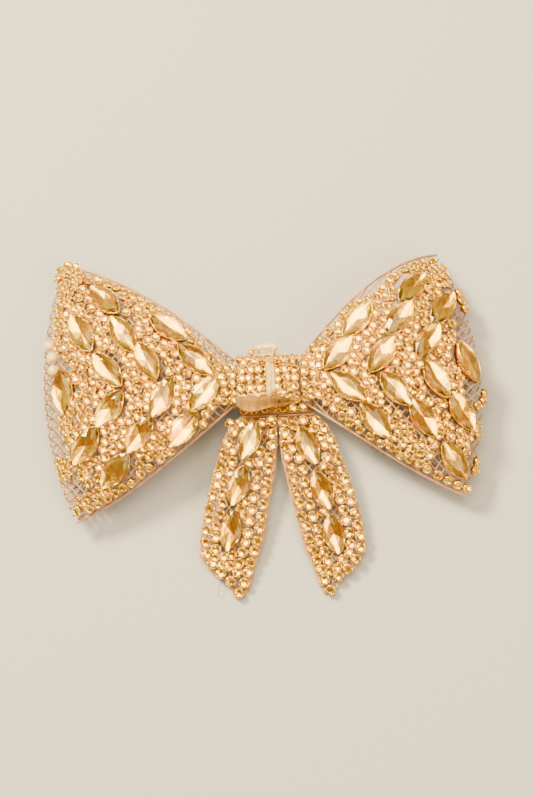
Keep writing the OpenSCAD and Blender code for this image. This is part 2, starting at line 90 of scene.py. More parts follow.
# Each light's name, place, width, power in watts and colour
LIGHTS = (
    ("key", (-0.58, 0.58, 0.88), 0.27, 61.0, (1.0, 0.77, 0.32)),
    ("top", (-0.05, 0.29, 1.26), 0.90, 39.0, (1.0, 0.79, 0.34)),
    ("fill", (0.77, -0.60, 0.94), 0.68, 17.0, (1.0, 0.78, 0.34)),
)
# The sky's colours, each with the upward part of the direction where it stands
SKY_STOPS = ((0.4, (1.0, 0.82, 0.52)), (0.7, (0.36, 0.18, 0.08)))
SKY_STRENGTH = 0.9
FLOOR_HALF = 1.6
FLOOR_DROP = 0.1 * MM


def linked(name, data):
    """A new object in the scene that holds the data."""
    made = bpy.data.objects.new(name, data)
    bpy.context.scene.collection.objects.link(made)
    return made


def make_camera():
    """The photo's view: from high above the front, rolled a little."""
    data = bpy.data.cameras.new("camera")
    data.lens = LENS
    data.sensor_width = FILM
    camera = linked("camera", data)
    distance = PICTURE_SPAN / 2 / (FILM / 2 / LENS)
    rise = math.radians(VIEW_ELEVATION)
    back = Vector((0, -math.cos(rise), math.sin(rise)))
    turn = (-back).to_track_quat("-Z", "Y").to_matrix().to_4x4()
    roll = Matrix.Rotation(math.radians(-VIEW_ROLL), 4, "Z")
    camera.matrix_world = Matrix.Translation(AIM + back * distance) @ turn @ roll
    bpy.context.scene.camera = camera


def make_light(name, place, width, power, colour):
    """A square area light that faces the bow."""
    data = bpy.data.lights.new(name, "AREA")
    data.size = width
    data.energy = power
    data.color = colour
    light = linked(name, data)
    light.location = place
    light.rotation_mode = "QUATERNION"
    light.rotation_quaternion = (AIM - Vector(place)).to_track_quat("-Z", "Y")


def make_world():
    """A warm sky, bright low down and dark overhead."""
    world = bpy.data.worlds.new("studio")
    world.use_nodes = True
    nodes, links = world.node_tree.nodes, world.node_tree.links
    where = nodes.new("ShaderNodeTexCoord")
    split = nodes.new("ShaderNodeSeparateXYZ")
    ramp = nodes.new("ShaderNodeValToRGB")
    links.new(where.outputs["Generated"], split.inputs[0])
    links.new(split.outputs["Z"], ramp.inputs["Fac"])
    for element, (position, colour) in zip(ramp.color_ramp.elements, SKY_STOPS):
        element.position = position
        element.color = (*colour, 1)
    background = nodes["Background"]
    links.new(ramp.outputs["Color"], background.inputs["Color"])
    background.inputs["Strength"].default_value = SKY_STRENGTH
    bpy.context.scene.world = world


def make_floor():
    """The plain table that the bow lies on."""
    mesh = bpy.data.meshes.new("floor")
    corners = [(x * FLOOR_HALF, y * FLOOR_HALF, 0) for x, y in ((-1, -1), (1, -1), (1, 1), (-1, 1))]
    mesh.from_pydata(corners, [], [(0, 1, 2, 3)])
    floor = linked("floor", mesh)
    floor.location.z = cad_box[0].z - FLOOR_DROP
    shade = Shade("floor", colour=(0.36, 0.385, 0.56), roughness=0.85)
    shade.mottle(scale=900, low=(0.35, 0.375, 0.55), high=(0.37, 0.395, 0.57))
    shade.bump(shade.noise(2600, detail=4), 0.25, 0.0002)
    mesh.materials.append(shade.material)


# ---------------------------------------------------------------- materials

class Shade:
    """A Principled material with helpers for its procedural detail."""

    def __init__(self, name, colour, roughness, metallic=0.0, **sockets):
        self.material = bpy.data.materials.new(name)
        self.material.use_nodes = True
        self.nodes = self.material.node_tree.nodes
        self.links = self.material.node_tree.links
        self.main = self.nodes["Principled BSDF"]
        self.place = self.nodes.new("ShaderNodeTexCoord").outputs["Object"]
        self.set("Base Color", (*colour, 1))
        self.set("Roughness", roughness)
        self.set("Metallic", metallic)
        for key, value in sockets.items():
            self.set(key.replace("_", " "), value)

    def set(self, socket, value):
        """Sets one input of the Principled node."""
        self.main.inputs[socket].default_value = value

    def noise(self, scale, detail):
        """Soft random patches; a larger scale makes them smaller."""
        node = self.nodes.new("ShaderNodeTexNoise")
        node.inputs["Scale"].default_value = scale
        node.inputs["Detail"].default_value = detail
        self.links.new(self.place, node.inputs["Vector"])
        return node.outputs["Fac"]

    def waves(self, scale, direction, distortion):
        """Bands across one direction, wavier with more distortion."""
        node = self.nodes.new("ShaderNodeTexWave")
        node.bands_direction = direction
        node.inputs["Scale"].default_value = scale
        node.inputs["Distortion"].default_value = distortion
        self.links.new(self.place, node.inputs["Vector"])
        return node.outputs["Fac"]

    def tone(self):
        """The tone that the mesh carries on each facet."""
        node = self.nodes.new("ShaderNodeAttribute")
        node.attribute_name = "tone"
        return node.outputs["Fac"]

    def math(self, kind, a, b):
        """A sum or product of two outputs or numbers."""
        node = self.nodes.new("ShaderNodeMath")
        node.operation = kind
        for socket, value in zip(node.inputs, (a, b)):
            if isinstance(value, (int, float)):
                socket.default_value = value
            else:
                self.links.new(value, socket)
        return node.outputs[0]

    def ramp(self, source, stops):
        """A colour for each value of the source, between stops (value, colour)."""
        node = self.nodes.new("ShaderNodeValToRGB")
        band = node.color_ramp
        while len(band.elements) < len(stops):
            band.elements.new(0.5)
        for element, (position, colour) in zip(band.elements, stops):
            element.position = position
            element.color = (*colour, 1)
        self.links.new(source, node.inputs["Fac"])
        return node.outputs["Color"]

    def colour_from(self, source, stops):
        """Takes the base colour from a ramp over the source."""
        self.links.new(self.ramp(source, stops), self.main.inputs["Base Color"])

    def mottle(self, scale, low, high):
        """Colours it in soft patches that run from low to high."""
        self.colour_from(self.noise(scale, 3.0), [(0.35, low), (0.65, high)])

    def roughness_from(self, source, low, high):
        """Lets the roughness follow the source, from low to high."""
        node = self.nodes.new("ShaderNodeMapRange")
        node.inputs["To Min"].default_value = low
        node.inputs["To Max"].default_value = high
        self.links.new(source, node.inputs["Value"])
        self.links.new(node.outputs["Result"], self.main.inputs["Roughness"])

    def bump(self, source, strength, depth):
        """Raises and lowers the surface with the source, depth in metres."""
        node = self.nodes.new("ShaderNodeBump")
        node.inputs["Strength"].default_value = strength
        node.inputs["Distance"].default_value = depth
        self.links.new(source, node.inputs["Height"])
        self.links.new(node.outputs["Normal"], self.main.inputs["Normal"])


def crystal_shade():
    """Clear cut glass over the foil, with a faint warm tint."""
    shade = Shade(
        "crystal", (1.0, 0.84, 0.34), 0.015,
        Transmission_Weight=1.0, IOR=1.36, Specular_IOR_Level=0.8,
    )
    shade.roughness_from(shade.noise(900, 3), 0.0, 0.05)
    return shade.material


def foil_shade():
    """Silvered back of a stone: bright champagne, darker from facet to facet by painted reflection."""
    shade = Shade("foil", (0.9, 0.78, 0.58), 0.06, metallic=1.0)
    shade.colour_from(shade.tone(), [
        (0.0, (0.56, 0.19, 0.09)), (0.25, (0.88, 0.36, 0.12)),
        (0.6, (1.0, 0.58, 0.11)), (1.0, (1.0, 0.90, 0.26)),
    ])
    shade.roughness_from(shade.noise(1500, 2), 0.10, 0.26)
    return shade.material


def gold_shade():
    """Thin gold-coloured plating, with painted shade: dark low in the gaps, bright on the rims and claws.
    """
    shade = Shade("gold_plating", (0.90, 0.62, 0.24), 0.2, metallic=1.0)
    worn = shade.math("MULTIPLY", shade.noise(700, 3), 0.35)
    shade.colour_from(shade.math("ADD", shade.math("MULTIPLY", shade.tone(), 0.75), worn), [
        (0.2, (0.22, 0.085, 0.004)), (0.5, (0.60, 0.28, 0.012)), (0.9, (1.0, 0.66, 0.07)),
    ])
    shade.roughness_from(shade.noise(1800, 4), 0.14, 0.34)
    shade.bump(shade.noise(4000, 2), 0.12, 0.00004)
    return shade.material


def net_shade():
    """Matt nylon yarn, its twist drawn by a slanted wave."""
    shade = Shade(
        "net", (0.36, 0.20, 0.12), 0.5,
        Sheen_Weight=0.25, Sheen_Roughness=0.4, Subsurface_Weight=0.15,
        Subsurface_Radius=(0.0006, 0.0004, 0.0003),
    )
    shade.mottle(260, (0.34, 0.17, 0.10), (0.50, 0.27, 0.17))
    shade.roughness_from(shade.noise(3000, 2), 0.38, 0.62)
    shade.bump(shade.waves(2600, "DIAGONAL", 2.0), 0.4, 0.00006)
    return shade.material


def cloth_shade(name, low, high, weave=1500, mottle=420, clear=0.0):
    """Woven cloth: two crossed wave patterns, mottled colour and a soft sheen."""
    shade = Shade(
        name, low, 0.8, Sheen_Weight=0.4, Sheen_Roughness=0.5, Transmission_Weight=clear, IOR=1.2,
    )
    shade.mottle(mottle, low, high)
    across = shade.waves(weave, "X", 0.6)
    along = shade.waves(weave, "Y", 0.6)
    shade.bump(shade.math("MULTIPLY", across, along), 0.6, 0.00012)
    return shade.material


def pearl_shade():
    """Ivory pearl: a soft body under a clear coat."""
    shade = Shade(
        "pearl", (0.72, 0.50, 0.24), 0.22,
        Coat_Weight=0.8, Coat_Roughness=0.08, Sheen_Weight=0.3,
        Subsurface_Weight=0.3, Subsurface_Radius=(0.002, 0.0014, 0.0009),
    )
    shade.mottle(500, (0.62, 0.40, 0.17), (0.80, 0.58, 0.30))
    shade.bump(shade.noise(1200, 3), 0.08, 0.00008)
    return shade.material


def film_shade():
    """Clear film with a milky, rubbed face."""
    shade = Shade("film", (1.0, 0.84, 0.46), 0.2, Transmission_Weight=0.7, IOR=1.15, Coat_Weight=0.5)
    shade.roughness_from(shade.noise(500, 4), 0.08, 0.32)
    shade.bump(shade.noise(350, 3), 0.3, 0.00015)
    return shade.material


def steel_shade(name, low, high, brush):
    """Nickel-plated sheet with fine marks along the clip."""
    shade = Shade(name, low, 0.3, metallic=1.0, Anisotropic=0.4)
    stretch = shade.nodes.new("ShaderNodeMapping")
    stretch.inputs["Scale"].default_value = brush
    shade.links.new(shade.place, stretch.inputs["Vector"])
    shade.place = stretch.outputs["Vector"]
    marks = shade.noise(900, 4)
    shade.colour_from(marks, [(0.3, low), (0.7, high)])
    shade.roughness_from(marks, 0.2, 0.42)
    shade.bump(marks, 0.15, 0.00003)
    return shade.material


crystal = crystal_shade()
foil = foil_shade()
gold = gold_shade()
net = net_shade()
thread_shade = cloth_shade("thread", (0.52, 0.34, 0.19), (0.68, 0.48, 0.29), 3000)
fray_shade = cloth_shade("fray", (0.34, 0.18, 0.09), (0.48, 0.27, 0.15), 3000)
tail_cloth = cloth_shade("tail_cloth", (0.38, 0.19, 0.10), (0.50, 0.27, 0.16))
knot_cloth = cloth_shade("knot_cloth", (0.20, 0.095, 0.03), (0.34, 0.18, 0.07))
# The hem's cloth runs in large patches from deep brown to gold: the gold and tan are its own colour, the
# deep brown patches are painted shade.
flap_cloth = cloth_shade("flap_cloth", (0.20, 0.085, 0.012), (0.62, 0.34, 0.08), mottle=110, clear=0.42)
yoke_cloth = cloth_shade("yoke_cloth", (0.18, 0.085, 0.03), (0.30, 0.155, 0.065))
bead_gold = gold_shade()
film = film_shade()
pearl = pearl_shade()
tape_cloth = cloth_shade("tape", (0.80, 0.62, 0.42), (0.95, 0.80, 0.60), 2200)
felt_cloth = cloth_shade("felt", (0.55, 0.44, 0.33), (0.66, 0.55, 0.42), 900)
steel = steel_shade("clip_steel", (0.60, 0.59, 0.57), (0.80, 0.79, 0.77), (0.2, 3, 3))
wire_steel = steel_shade("spring_steel", (0.42, 0.41, 0.40), (0.60, 0.59, 0.57), (1, 1, 1))


# ---------------------------------------------------------------- mesh building

# How far a fibre bends for its length, and how finely fibres, threads and ribbons are drawn
FIBRE_BEND = 0.35
FIBRE_POINTS = 6
FIBRE_SIDES = 4
THREAD_SIDES = 5
RIBBON_SHARES = np.linspace(-1, 1, 9)


def unit(vector):
    """A vector brought to length 1."""
    return np.asarray(vector, float) / np.linalg.norm(vector)


def unit_rows(rows):
    """An array of vectors, each brought to length 1."""
    return rows / np.linalg.norm(rows, axis=1, keepdims=True)


def square_to(axis):
    """Two directions square to an axis and to each other."""
    across = unit(np.cross(axis, (0, 0, 1)))
    return across, np.cross(axis, across)


class Build:
    """Gathers points and faces, then makes one piece of them."""

    def __init__(self):
        self.points, self.faces, self.slots, self.tones, self.smooths = [], [], [], [], []
        self.count = 0

    def add(self, points, faces, slots=0, tones=0.5, smooth=True):
        """Adds points and faces. Slots and tones are one for all the faces or a list of one each."""
        self.points.append(np.asarray(points, float).reshape(-1, 3))
        self.faces.extend(tuple(i + self.count for i in face) for face in faces)
        self.slots.extend([slots] * len(faces) if isinstance(slots, int) else slots)
        self.tones.extend([tones] * len(faces) if isinstance(tones, (int, float)) else tones)
        self.smooths.extend([smooth] * len(faces))
        self.count += len(self.points[-1])

    def piece(self, name, body, slot, materials, replaced=(), turn_out=False):
        """Makes the piece, with the CAD nodes it stands for and, if it rides, its body; its slot is not
        used.
        """
        mesh = bpy.data.meshes.new(name)
        mesh.from_pydata(np.concatenate(self.points).tolist(), [], self.faces)
        for material in materials:
            mesh.materials.append(material)
        mesh.polygons.foreach_set("material_index", self.slots)
        mesh.polygons.foreach_set("use_smooth", self.smooths)
        tone = mesh.attributes.new("tone", "FLOAT", "FACE")
        tone.data.foreach_set("value", np.asarray(self.tones, np.float32))
        if turn_out:
            edit = bmesh.new()
            edit.from_mesh(mesh)
            bmesh.ops.recalc_face_normals(edit, faces=edit.faces)
            edit.to_mesh(mesh)
            edit.free()
        mesh.update()
        made = linked(name, mesh)
        if body:
            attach(made, body)
        if replaced:
            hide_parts(*replaced)
        return made


def strip(n, start, other):
    """Quads between two closed rings of n points that begin at start and other."""
    turns = [(i, (i + 1) % n) for i in range(n)]
    return [(start + i, start + j, other + j, other + i) for i, j in turns]


def loft_faces(count, around, capped):
    """Faces that join count closed rings in turn, with a cap at each end or back to the first ring."""
    faces = []
    for i in range(count - 1):
        faces += strip(around, i * around, (i + 1) * around)
    last = (count - 1) * around
    if capped:
        return faces + [tuple(range(around))[::-1], tuple(range(last, last + around))]
    return faces + strip(around, last, 0)


def lofted_piece(name, slot, shade, node, rings, capped=True, tones=0.5):
    """A piece of the ornament that is one skin through rings, in place of a CAD node."""
    build = Build()
    add_loft(build, rings, capped=capped, tones=tones)
    return build.piece(name, "ornament", slot, [shade], [node], turn_out=True)


def tube_rings(path, radius, sides, closed):
    """Rings of points round a path, carried along it without twist."""
    path = np.asarray(path, float)
    if closed:
        way = np.roll(path, -1, 0) - np.roll(path, 1, 0)
    else:
        way = np.gradient(path, axis=0)
    way /= np.maximum(np.linalg.norm(way, axis=1, keepdims=True), 1e-12)
    across = unit(np.cross(way[0], (0.31, 0.52, 0.80)))
    angles = np.arange(sides) * 2 * math.pi / sides
    wide = np.broadcast_to(np.asarray(radius, float), (len(path),))
    rings = []
    for point, t, r in zip(path, way, wide):
        across = unit(across - t * (across @ t))
        up = np.cross(t, across)
        rings.append(point + r * (np.outer(np.cos(angles), across) + np.outer(np.sin(angles), up)))
    return rings


def add_tube(build, path, radius, sides=6, closed=False, **how):
    """A round tube along a path, its ends capped unless it is closed."""
    add_loft(build, tube_rings(path, radius, sides, closed), capped=not closed, **how)


def add_loft(build, rings, capped=True, **how):
    """A skin through rings of the same number of points, closed round each ring."""
    rings = np.asarray(rings, float)
    count, around, _ = rings.shape
    build.add(rings.reshape(-1, 3), loft_faces(count, around, capped), **how)


def add_ribbon(build, path, width, thick, side, crown, rim):
    """A flat band along a path, width across it in the direction side, a little thicker in its middle.

    Its middle is raised by crown, and rim shifts it sideways at each point of the path.
    """
    path = np.asarray(path, float)
    way = unit_rows(np.gradient(path, axis=0))
    across = np.broadcast_to(np.asarray(side, float), path.shape)
    across = unit_rows(across - way * (across * way).sum(1, keepdims=True))
    wide = np.broadcast_to(np.asarray(width, float), (len(path),))
    half = thick / 2 * (1 - RIBBON_SHARES ** 8)
    lift = crown * (1 - RIBBON_SHARES ** 2)
    rings = []
    for point, a, u, w, edge in zip(path, across, np.cross(way, across), wide, rim):
        flat = point + np.outer(w / 2 * RIBBON_SHARES + edge, a)
        top = flat + np.outer(half + lift, u)
        low = flat - np.outer(half - lift, u)
        rings.append(np.vstack([top, low[1:-1][::-1]]))
    add_loft(build, rings)


def add_fibres(build, roots, aim, spread, lengths, radius):
    """Loose fibres that leave their roots in the direction aim, each bent its own way."""
    shares = np.linspace(0, 1, FIBRE_POINTS)
    for root in roots:
        way = unit(aim + chance.normal(0, spread, 3))
        bend = chance.normal(0, FIBRE_BEND, 3)
        length = chance.uniform(*lengths)
        path = np.array([root + way * length * t + bend * length * t * t for t in shares])
        path[:, 2] = np.maximum(path[:, 2], cad_box[0].z + radius)
        add_tube(build, path, radius * np.linspace(1, 0.6, FIBRE_POINTS), FIBRE_SIDES)


def curve_through(points, count):
    """A smooth open curve of count points through a few given ones."""
    points = np.asarray(points, float)
    padded = np.vstack([2 * points[0] - points[1], points, 2 * points[-1] - points[-2]])
    made = []
    for t in np.linspace(0, len(points) - 1, count):
        i = min(int(t), len(points) - 2)
        f = t - i
        a, b, c, d = padded[i:i + 4]
        made.append(0.5 * (2 * b + (c - a) * f + (2 * a - 5 * b + 4 * c - d) * f * f
                           + (3 * b - a - 3 * c + d) * f ** 3))
    return np.array(made)


def add_thread(build, route, count, radius):
    """A fine thread along the smooth curve through a route's few points."""
    add_tube(build, curve_through(route, count), radius, THREAD_SIDES)


# ---------------------------------------------------------------- reading the CAD frame

def box_middle(node):
    """The middle of a CAD node's box."""
    low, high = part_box(node)
    return (np.array(low) + np.array(high)) / 2


def cad_triangles(node):
    """Corners of a CAD node's triangles, and the welded number of each corner."""
    mesh = frame["nodes"][node].data
    mesh.calc_loop_triangles()
    points = np.empty(len(mesh.vertices) * 3)
    mesh.vertices.foreach_get("co", points)
    points = points.reshape(-1, 3)
    corners = np.empty(len(mesh.loop_triangles) * 3, np.int64)
    mesh.loop_triangles.foreach_get("vertices", corners)
    corners = corners.reshape(-1, 3)
    _, first, welded = np.unique(np.round(points, 7), axis=0, return_index=True, return_inverse=True)
    return points[first], welded.reshape(-1)[corners]


def cad_islands(node):
    """The triangles of each separate solid in a CAD node, as (points, corners)."""
    points, corners = cad_triangles(node)
    label = np.arange(len(points))
    while True:
        before = label.copy()
        low = label[corners].min(axis=1)
        for k in range(3):
            np.minimum.at(label, corners[:, k], low)
        label = label[label]
        if (label == before).all():
            break
    own = label[corners[:, 0]]
    return [(points, corners[own == one]) for one in np.unique(own)]


def outer_skin(node):
    """The island of a CAD node that reaches furthest."""
    found = cad_islands(node)
    return max(found, key=lambda island: np.ptp(island[0][np.unique(island[1])], axis=0).prod())


def skin_tree(node):
    """A search tree over the outer skin of a CAD node."""
    points, corners = outer_skin(node)
    return BVHTree.FromPolygons([Vector(p) for p in points], corners.tolist())


# How much narrower a marquise is at its points, how near its face a place must be to count as over it,
# and how far up a facet must look to be a stone's table
MARQUISE_TAPER = 0.85
NEAR_FACE = 4 * MM
TABLE_RISE = 0.2


class Seat:
    """Where one stone sits: the middle of its table, the way it faces, its long axis and its reach."""

    def __init__(self, top, face, along, reach):
        self.top, self.reach = np.array(top), reach
        self.face = unit(face)
        self.along = unit(np.array(along) - self.face * (self.face @ along))
        self.across = np.cross(self.face, self.along)

    def place(self, drop, scale, turn, lean):
        """4x4 matrix from a stone's own axes, Z out of the table, to the frame, drop below the table."""
        c, s = math.cos(turn), math.sin(turn)
        x = self.along * c + self.across * s
        z = unit(self.face + self.along * lean[0] + self.across * lean[1])
        y = unit(np.cross(z, x))
        made = np.eye(4)
        made[:3, 0], made[:3, 1], made[:3, 2] = np.cross(y, z) * scale, y * scale, z * scale
        made[:3, 3] = self.top - self.face * drop
        return made

    def covers(self, places, margin):
        """Which places lie over this marquise, or within a margin of it."""
        away = places - self.top
        half_l, half_w = MARQUISE_HALF[0] + margin, MARQUISE_HALF[1] + margin
        share = np.abs(away @ self.along) / half_l
        near = np.abs(away @ self.face) < NEAR_FACE
        width = half_w * (1 - MARQUISE_TAPER * share ** 2)
        return near & (share < 1) & (np.abs(away @ self.across) < width)


def seat_of(points, corners):
    """The seat of a stone, read from its CAD solid."""
    a, b, c = (points[corners[:, k]] for k in range(3))
    cross = np.cross(b - a, c - a)
    area = np.linalg.norm(cross, axis=1) / 2
    normal = cross / np.maximum(2 * area[:, None], 1e-18)
    _, group = np.unique(np.round(normal, 2), axis=0, return_inverse=True)
    group = group.reshape(-1)
    table = group == np.bincount(group, area * (normal[:, 2] > TABLE_RISE)).argmax()
    face = unit((normal[table] * area[table, None]).sum(0))
    top = ((a + b + c)[table] / 3 * area[table, None]).sum(0) / area[table].sum()
    away = points[np.unique(corners)] - top
    away -= np.outer(away @ face, face)
    reach = np.linalg.norm(away, axis=1)
    return Seat(top, face, away[reach.argmax()], reach.max())


def seats(node):
    """The seats of all the stones in a CAD node, from left to right."""
    found = [seat_of(points, corners) for points, corners in cad_islands(node)]
    return sorted(found, key=lambda seat: (round(seat.top[0], 5), round(seat.top[1], 5)))


def moved(points, matrix):
    """The points after a 4x4 matrix has moved them."""
    return points @ matrix[:3, :3].T + matrix[:3, 3]


# ---------------------------------------------------------------- stones and their settings

def round_outline(angle):
    """A circle of radius 1."""
    return np.array((math.cos(angle), math.sin(angle)))


def marquise_outline(angle):
    """Two arcs that meet in points, for a half length of 1 and a half width of 1."""
    s = math.sin(angle)
    return np.array((math.cos(angle), abs(s) ** 1.65 * (1 if s > 0 else -1)))


def cut_stone(outline, half, table, crown, belt, depth, keel):
    """A faceted stone whose belt is at height 0. Crown facets are slot 0, the foiled back slot 1.

    The back is shallow: eight broad facets slope to a ring at share keel[0] of the outline and
    keel[1] of the depth, and eight more run from there to the middle.
    """
    half = np.array(half)

    def ring(count, offset, share, height):
        turns = [(i + offset) * 2 * math.pi / count for i in range(count)]
        return [(*(outline(t) * half * share), height) for t in turns]

    points = ring(8, 0, table, crown) + ring(8, 0.5, (1 + table) / 2 + 0.04, crown * 0.62)
    points += ring(16, 0, 1, 0.0) + ring(16, 0, 1, -belt)
    points += ring(8, 0.5, keel[0], -belt - depth * keel[1]) + [(0, 0, -belt - depth)]
    first, middle, upper, lower, inner, tip = 0, 8, 16, 32, 48, 56
    faces = [tuple(range(8))]
    for i in range(8):
        j = (i + 1) % 8
        here, between, there = upper + 2 * i, upper + 2 * i + 1, upper + (2 * i + 2) % 16
        faces += [
            (first + i, middle + i, first + j),
            (first + i, middle + (i - 1) % 8, here, middle + i),
            (here, between, middle + i),
            (between, there, middle + i),
        ]
    slots = [0] * len(faces)
    faces += strip(16, lower, upper)
    for i in range(8):
        j = (i + 1) % 8
        here, between, there = lower + 2 * i, lower + 2 * i + 1, lower + (2 * i + 2) % 16
        faces += [
            (between, here, inner + i),
            (there, between, inner + i),
            (there, inner + i, inner + j),
            (inner + j, inner + i, tip),
        ]
    slots += [1] * (len(faces) - len(slots))
    return np.array(points), faces, slots


def claw_ring(outline, half, wall, height, claws, reach, lift, around):
    """A metal setting: a wall that follows the stone's outline, with claws bent over the stone's belt."""
    half = np.array(half)
    turns = [i * 2 * math.pi / around for i in range(around)]
    profile = [
        (-0.30, 0.0, 0), (0.55, 0.0, 0), (0.95, height * 0.35, 0), (1.0, height * 0.8, 0),
        (0.8, height, 1), (0.25, height * 1.02, 1), (0.0, height * 0.9, 0.6), (-0.5, height * 0.35, 0),
    ]
    points, weights = [], []
    for t in turns:
        gap = min(abs((t - claw + math.pi) % (2 * math.pi) - math.pi) for claw in claws)
        weights.append(max(0.0, 1 - gap / reach) ** 0.8)
    for out, z, follow in profile:
        for t, w in zip(turns, weights):
            edge = outline(t) * half
            flat = edge + unit(edge) * wall * (out - 1.9 * w * follow * (1 if out < 0.6 else 0.4))
            points.append((*flat, z + w * follow * lift))
    faces = loft_faces(len(profile), around, capped=True)
    # Painted shade: the setting's low walls and underside get dark tones, its rim and claws the brightest.
    tones = [tone for tone in (0.1, 0.15, 0.5, 1.0, 1.0, 0.8, 0.3) for _ in range(around)] + [0.1, 0.3]
    return np.array(points), faces, tones


# Half sizes of the stones, heights of their settings, and the angles at which claws stand
STONE_LIFT = 0.15 * MM
CAD_ROUND_R = 1.4 * MM
ROUND_HALF = (1.42 * MM, 1.42 * MM)
ROUND_CUP = 1.2 * MM
ROUND_CLAWS = [math.pi * (k + 0.5) / 2 for k in range(4)]
MARQUISE_HALF = (7.6 * MM, 3.75 * MM)
MARQUISE_CUP = 2.5 * MM
MARQUISE_CLAWS = [0.0, math.pi, 1.05, math.pi - 1.05, math.pi + 1.05, -1.05]

# For each kind of stone: its cut and its setting, the heights of the setting and of the stone's table,
# how far it turns and leans at random, the darkest tone of the painted reflection on its foil, and what its
# pieces are called
ROUND = {
    "stone": cut_stone(round_outline, ROUND_HALF, 0.52, 0.62 * MM, 0.06 * MM, 0.36 * MM, (0.6, 0.8)),
    "setting": claw_ring(round_outline, ROUND_HALF, 0.22 * MM, ROUND_CUP, ROUND_CLAWS, 0.34, 0.55 * MM, 24),
    "cup": ROUND_CUP, "table": 2.0 * MM, "turn": math.pi / 4, "lean": 0.13, "least": 0.5,
    "slots": ("round_crystal", "rhinestone_cup"), "called": "cups",
}
MARQUISE = {
    "stone": cut_stone(
        marquise_outline, MARQUISE_HALF, 0.55, 0.85 * MM, 0.06 * MM, 0.56 * MM, (0.52, 0.45),
    ),
    "setting": claw_ring(
        marquise_outline, MARQUISE_HALF, 0.2 * MM, MARQUISE_CUP, MARQUISE_CLAWS, 0.13, 0.5 * MM, 64,
    ),
    "cup": MARQUISE_CUP, "table": 3.7 * MM, "turn": 0.0, "lean": 0.05, "least": 0.4,
    "slots": ("marquise_crystal", "marquise_setting"), "called": "settings",
}


def facet_tones(slots, least):
    """A tone for each facet: crown facets stay light, those of the back get random tones that paint
    reflection on the foil.
    """
    return [0.9 if slot == 0 else least + (1 - least) * float(chance.beta(1.5, 1.0)) for slot in slots]


def add_stone(stones, cups, seat, kind, scale):
    """One stone and its setting, turned and leaned a little at random."""
    turn = chance.uniform(0, kind["turn"]) if kind["turn"] else 0.0
    lean = chance.normal(0, kind["lean"], 2)
    whole = seat.place(kind["table"] * scale, scale, turn, lean)
    points, faces, tones = kind["setting"]
    cups.add(moved(points, whole), faces, tones=tones)
    points, faces, slots = kind["stone"]
    up = Matrix.Translation((0, 0, kind["cup"] + STONE_LIFT))
    stones.add(moved(points, whole @ np.array(up)), faces, slots, facet_tones(slots, kind["least"]), False)


# Links join cups whose tables are within reach, this far below the tables
LINK_REACH = 3.7 * MM
LINK_DROP = 1.75 * MM
LINK_RADIUS = 0.42 * MM
LINKS_EACH = 4


def make_links(name, body, places):
    """The little bars that join each cup of the chain to its neighbours."""
    tops = np.array([seat.top for seat in places])
    feet = tops - np.array([seat.face for seat in places]) * LINK_DROP
    build = Build()
    for i in range(len(places)):
        away = np.linalg.norm(tops - tops[i], axis=1)
        for j in np.argsort(away)[1:1 + LINKS_EACH]:
            if j > i and away[j] < LINK_REACH:
                # Painted shade: the links lie low between the cups, so they get a dark tone.
                add_tube(build, [feet[i], (feet[i] + feet[j]) / 2, feet[j]], LINK_RADIUS, tones=0.25)
    build.piece(name, body, "rhinestone_cup", [gold])


def set_stones(node, stem, body, kind, extra=(), size=None):
    """Cut stones on a CAD node's seats and on any extra ones, and their settings in a second piece."""
    stones, cups = Build(), Build()
    places = seats(node) + list(extra)
    for seat in places:
        add_stone(stones, cups, seat, kind, size or seat.reach / CAD_ROUND_R)
    settings = f"{node.rsplit('_', 1)[0]}_{kind['called']}"
    stones.piece(f"{stem}_crystals", body, kind["slots"][0], [crystal, foil], [node])
    cups.piece(f"{stem}_{kind['called']}", body, kind["slots"][1], [gold], [settings])
    if kind is ROUND:
        make_links(f"{stem}_links", body, places)


# How far up a face must look to carry stones, and how high above a node its rays begin
SKIN_FACING = 0.35
RAY_RISE = 10 * MM


def skin_under(node, step, margin):
    """A grid of places on a CAD node's face, with the way that the face looks at each."""
    tree = skin_tree(node)
    low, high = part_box(node)
    places, normals = [], []
    edge = [(math.cos(a) * margin, math.sin(a) * margin) for a in np.arange(0, 2 * math.pi, math.pi / 4)]

    def drop(x, y):
        return tree.ray_cast(Vector((x, y, high[2] + RAY_RISE)), Vector((0, 0, -1)))

    for x in np.arange(low[0], high[0], step):
        for y in np.arange(low[1], high[1], step):
            where, normal, _, _ = drop(x, y)
            if where is None or normal.z < SKIN_FACING:
                continue
            if all(drop(x + dx, y + dy)[0] is not None for dx, dy in edge):
                places.append(tuple(where))
                normals.append(tuple(normal))
    return np.array(places), np.array(normals)


# Filling stones: the grid of places tried, the height of a table over the net and how much more it may
# stand up, the gap that a full stone takes and the largest stone against a CAD one
FILL_STEP = 0.55 * MM
FILL_REACH = 3.5 * MM
FILL_STAND = 2.05 * MM
FILL_LIFT = 0.45 * MM
FILL_FULL = 3.0 * MM
FILL_LARGEST = 1.05
LOOP_FILL = {"margin": 1.9 * MM, "company": 3, "gap": 2.1 * MM, "clear": 0.5 * MM}
TAIL_FILL = {"margin": 1.65 * MM, "company": 0, "gap": 2.6 * MM, "clear": 1.5 * MM}


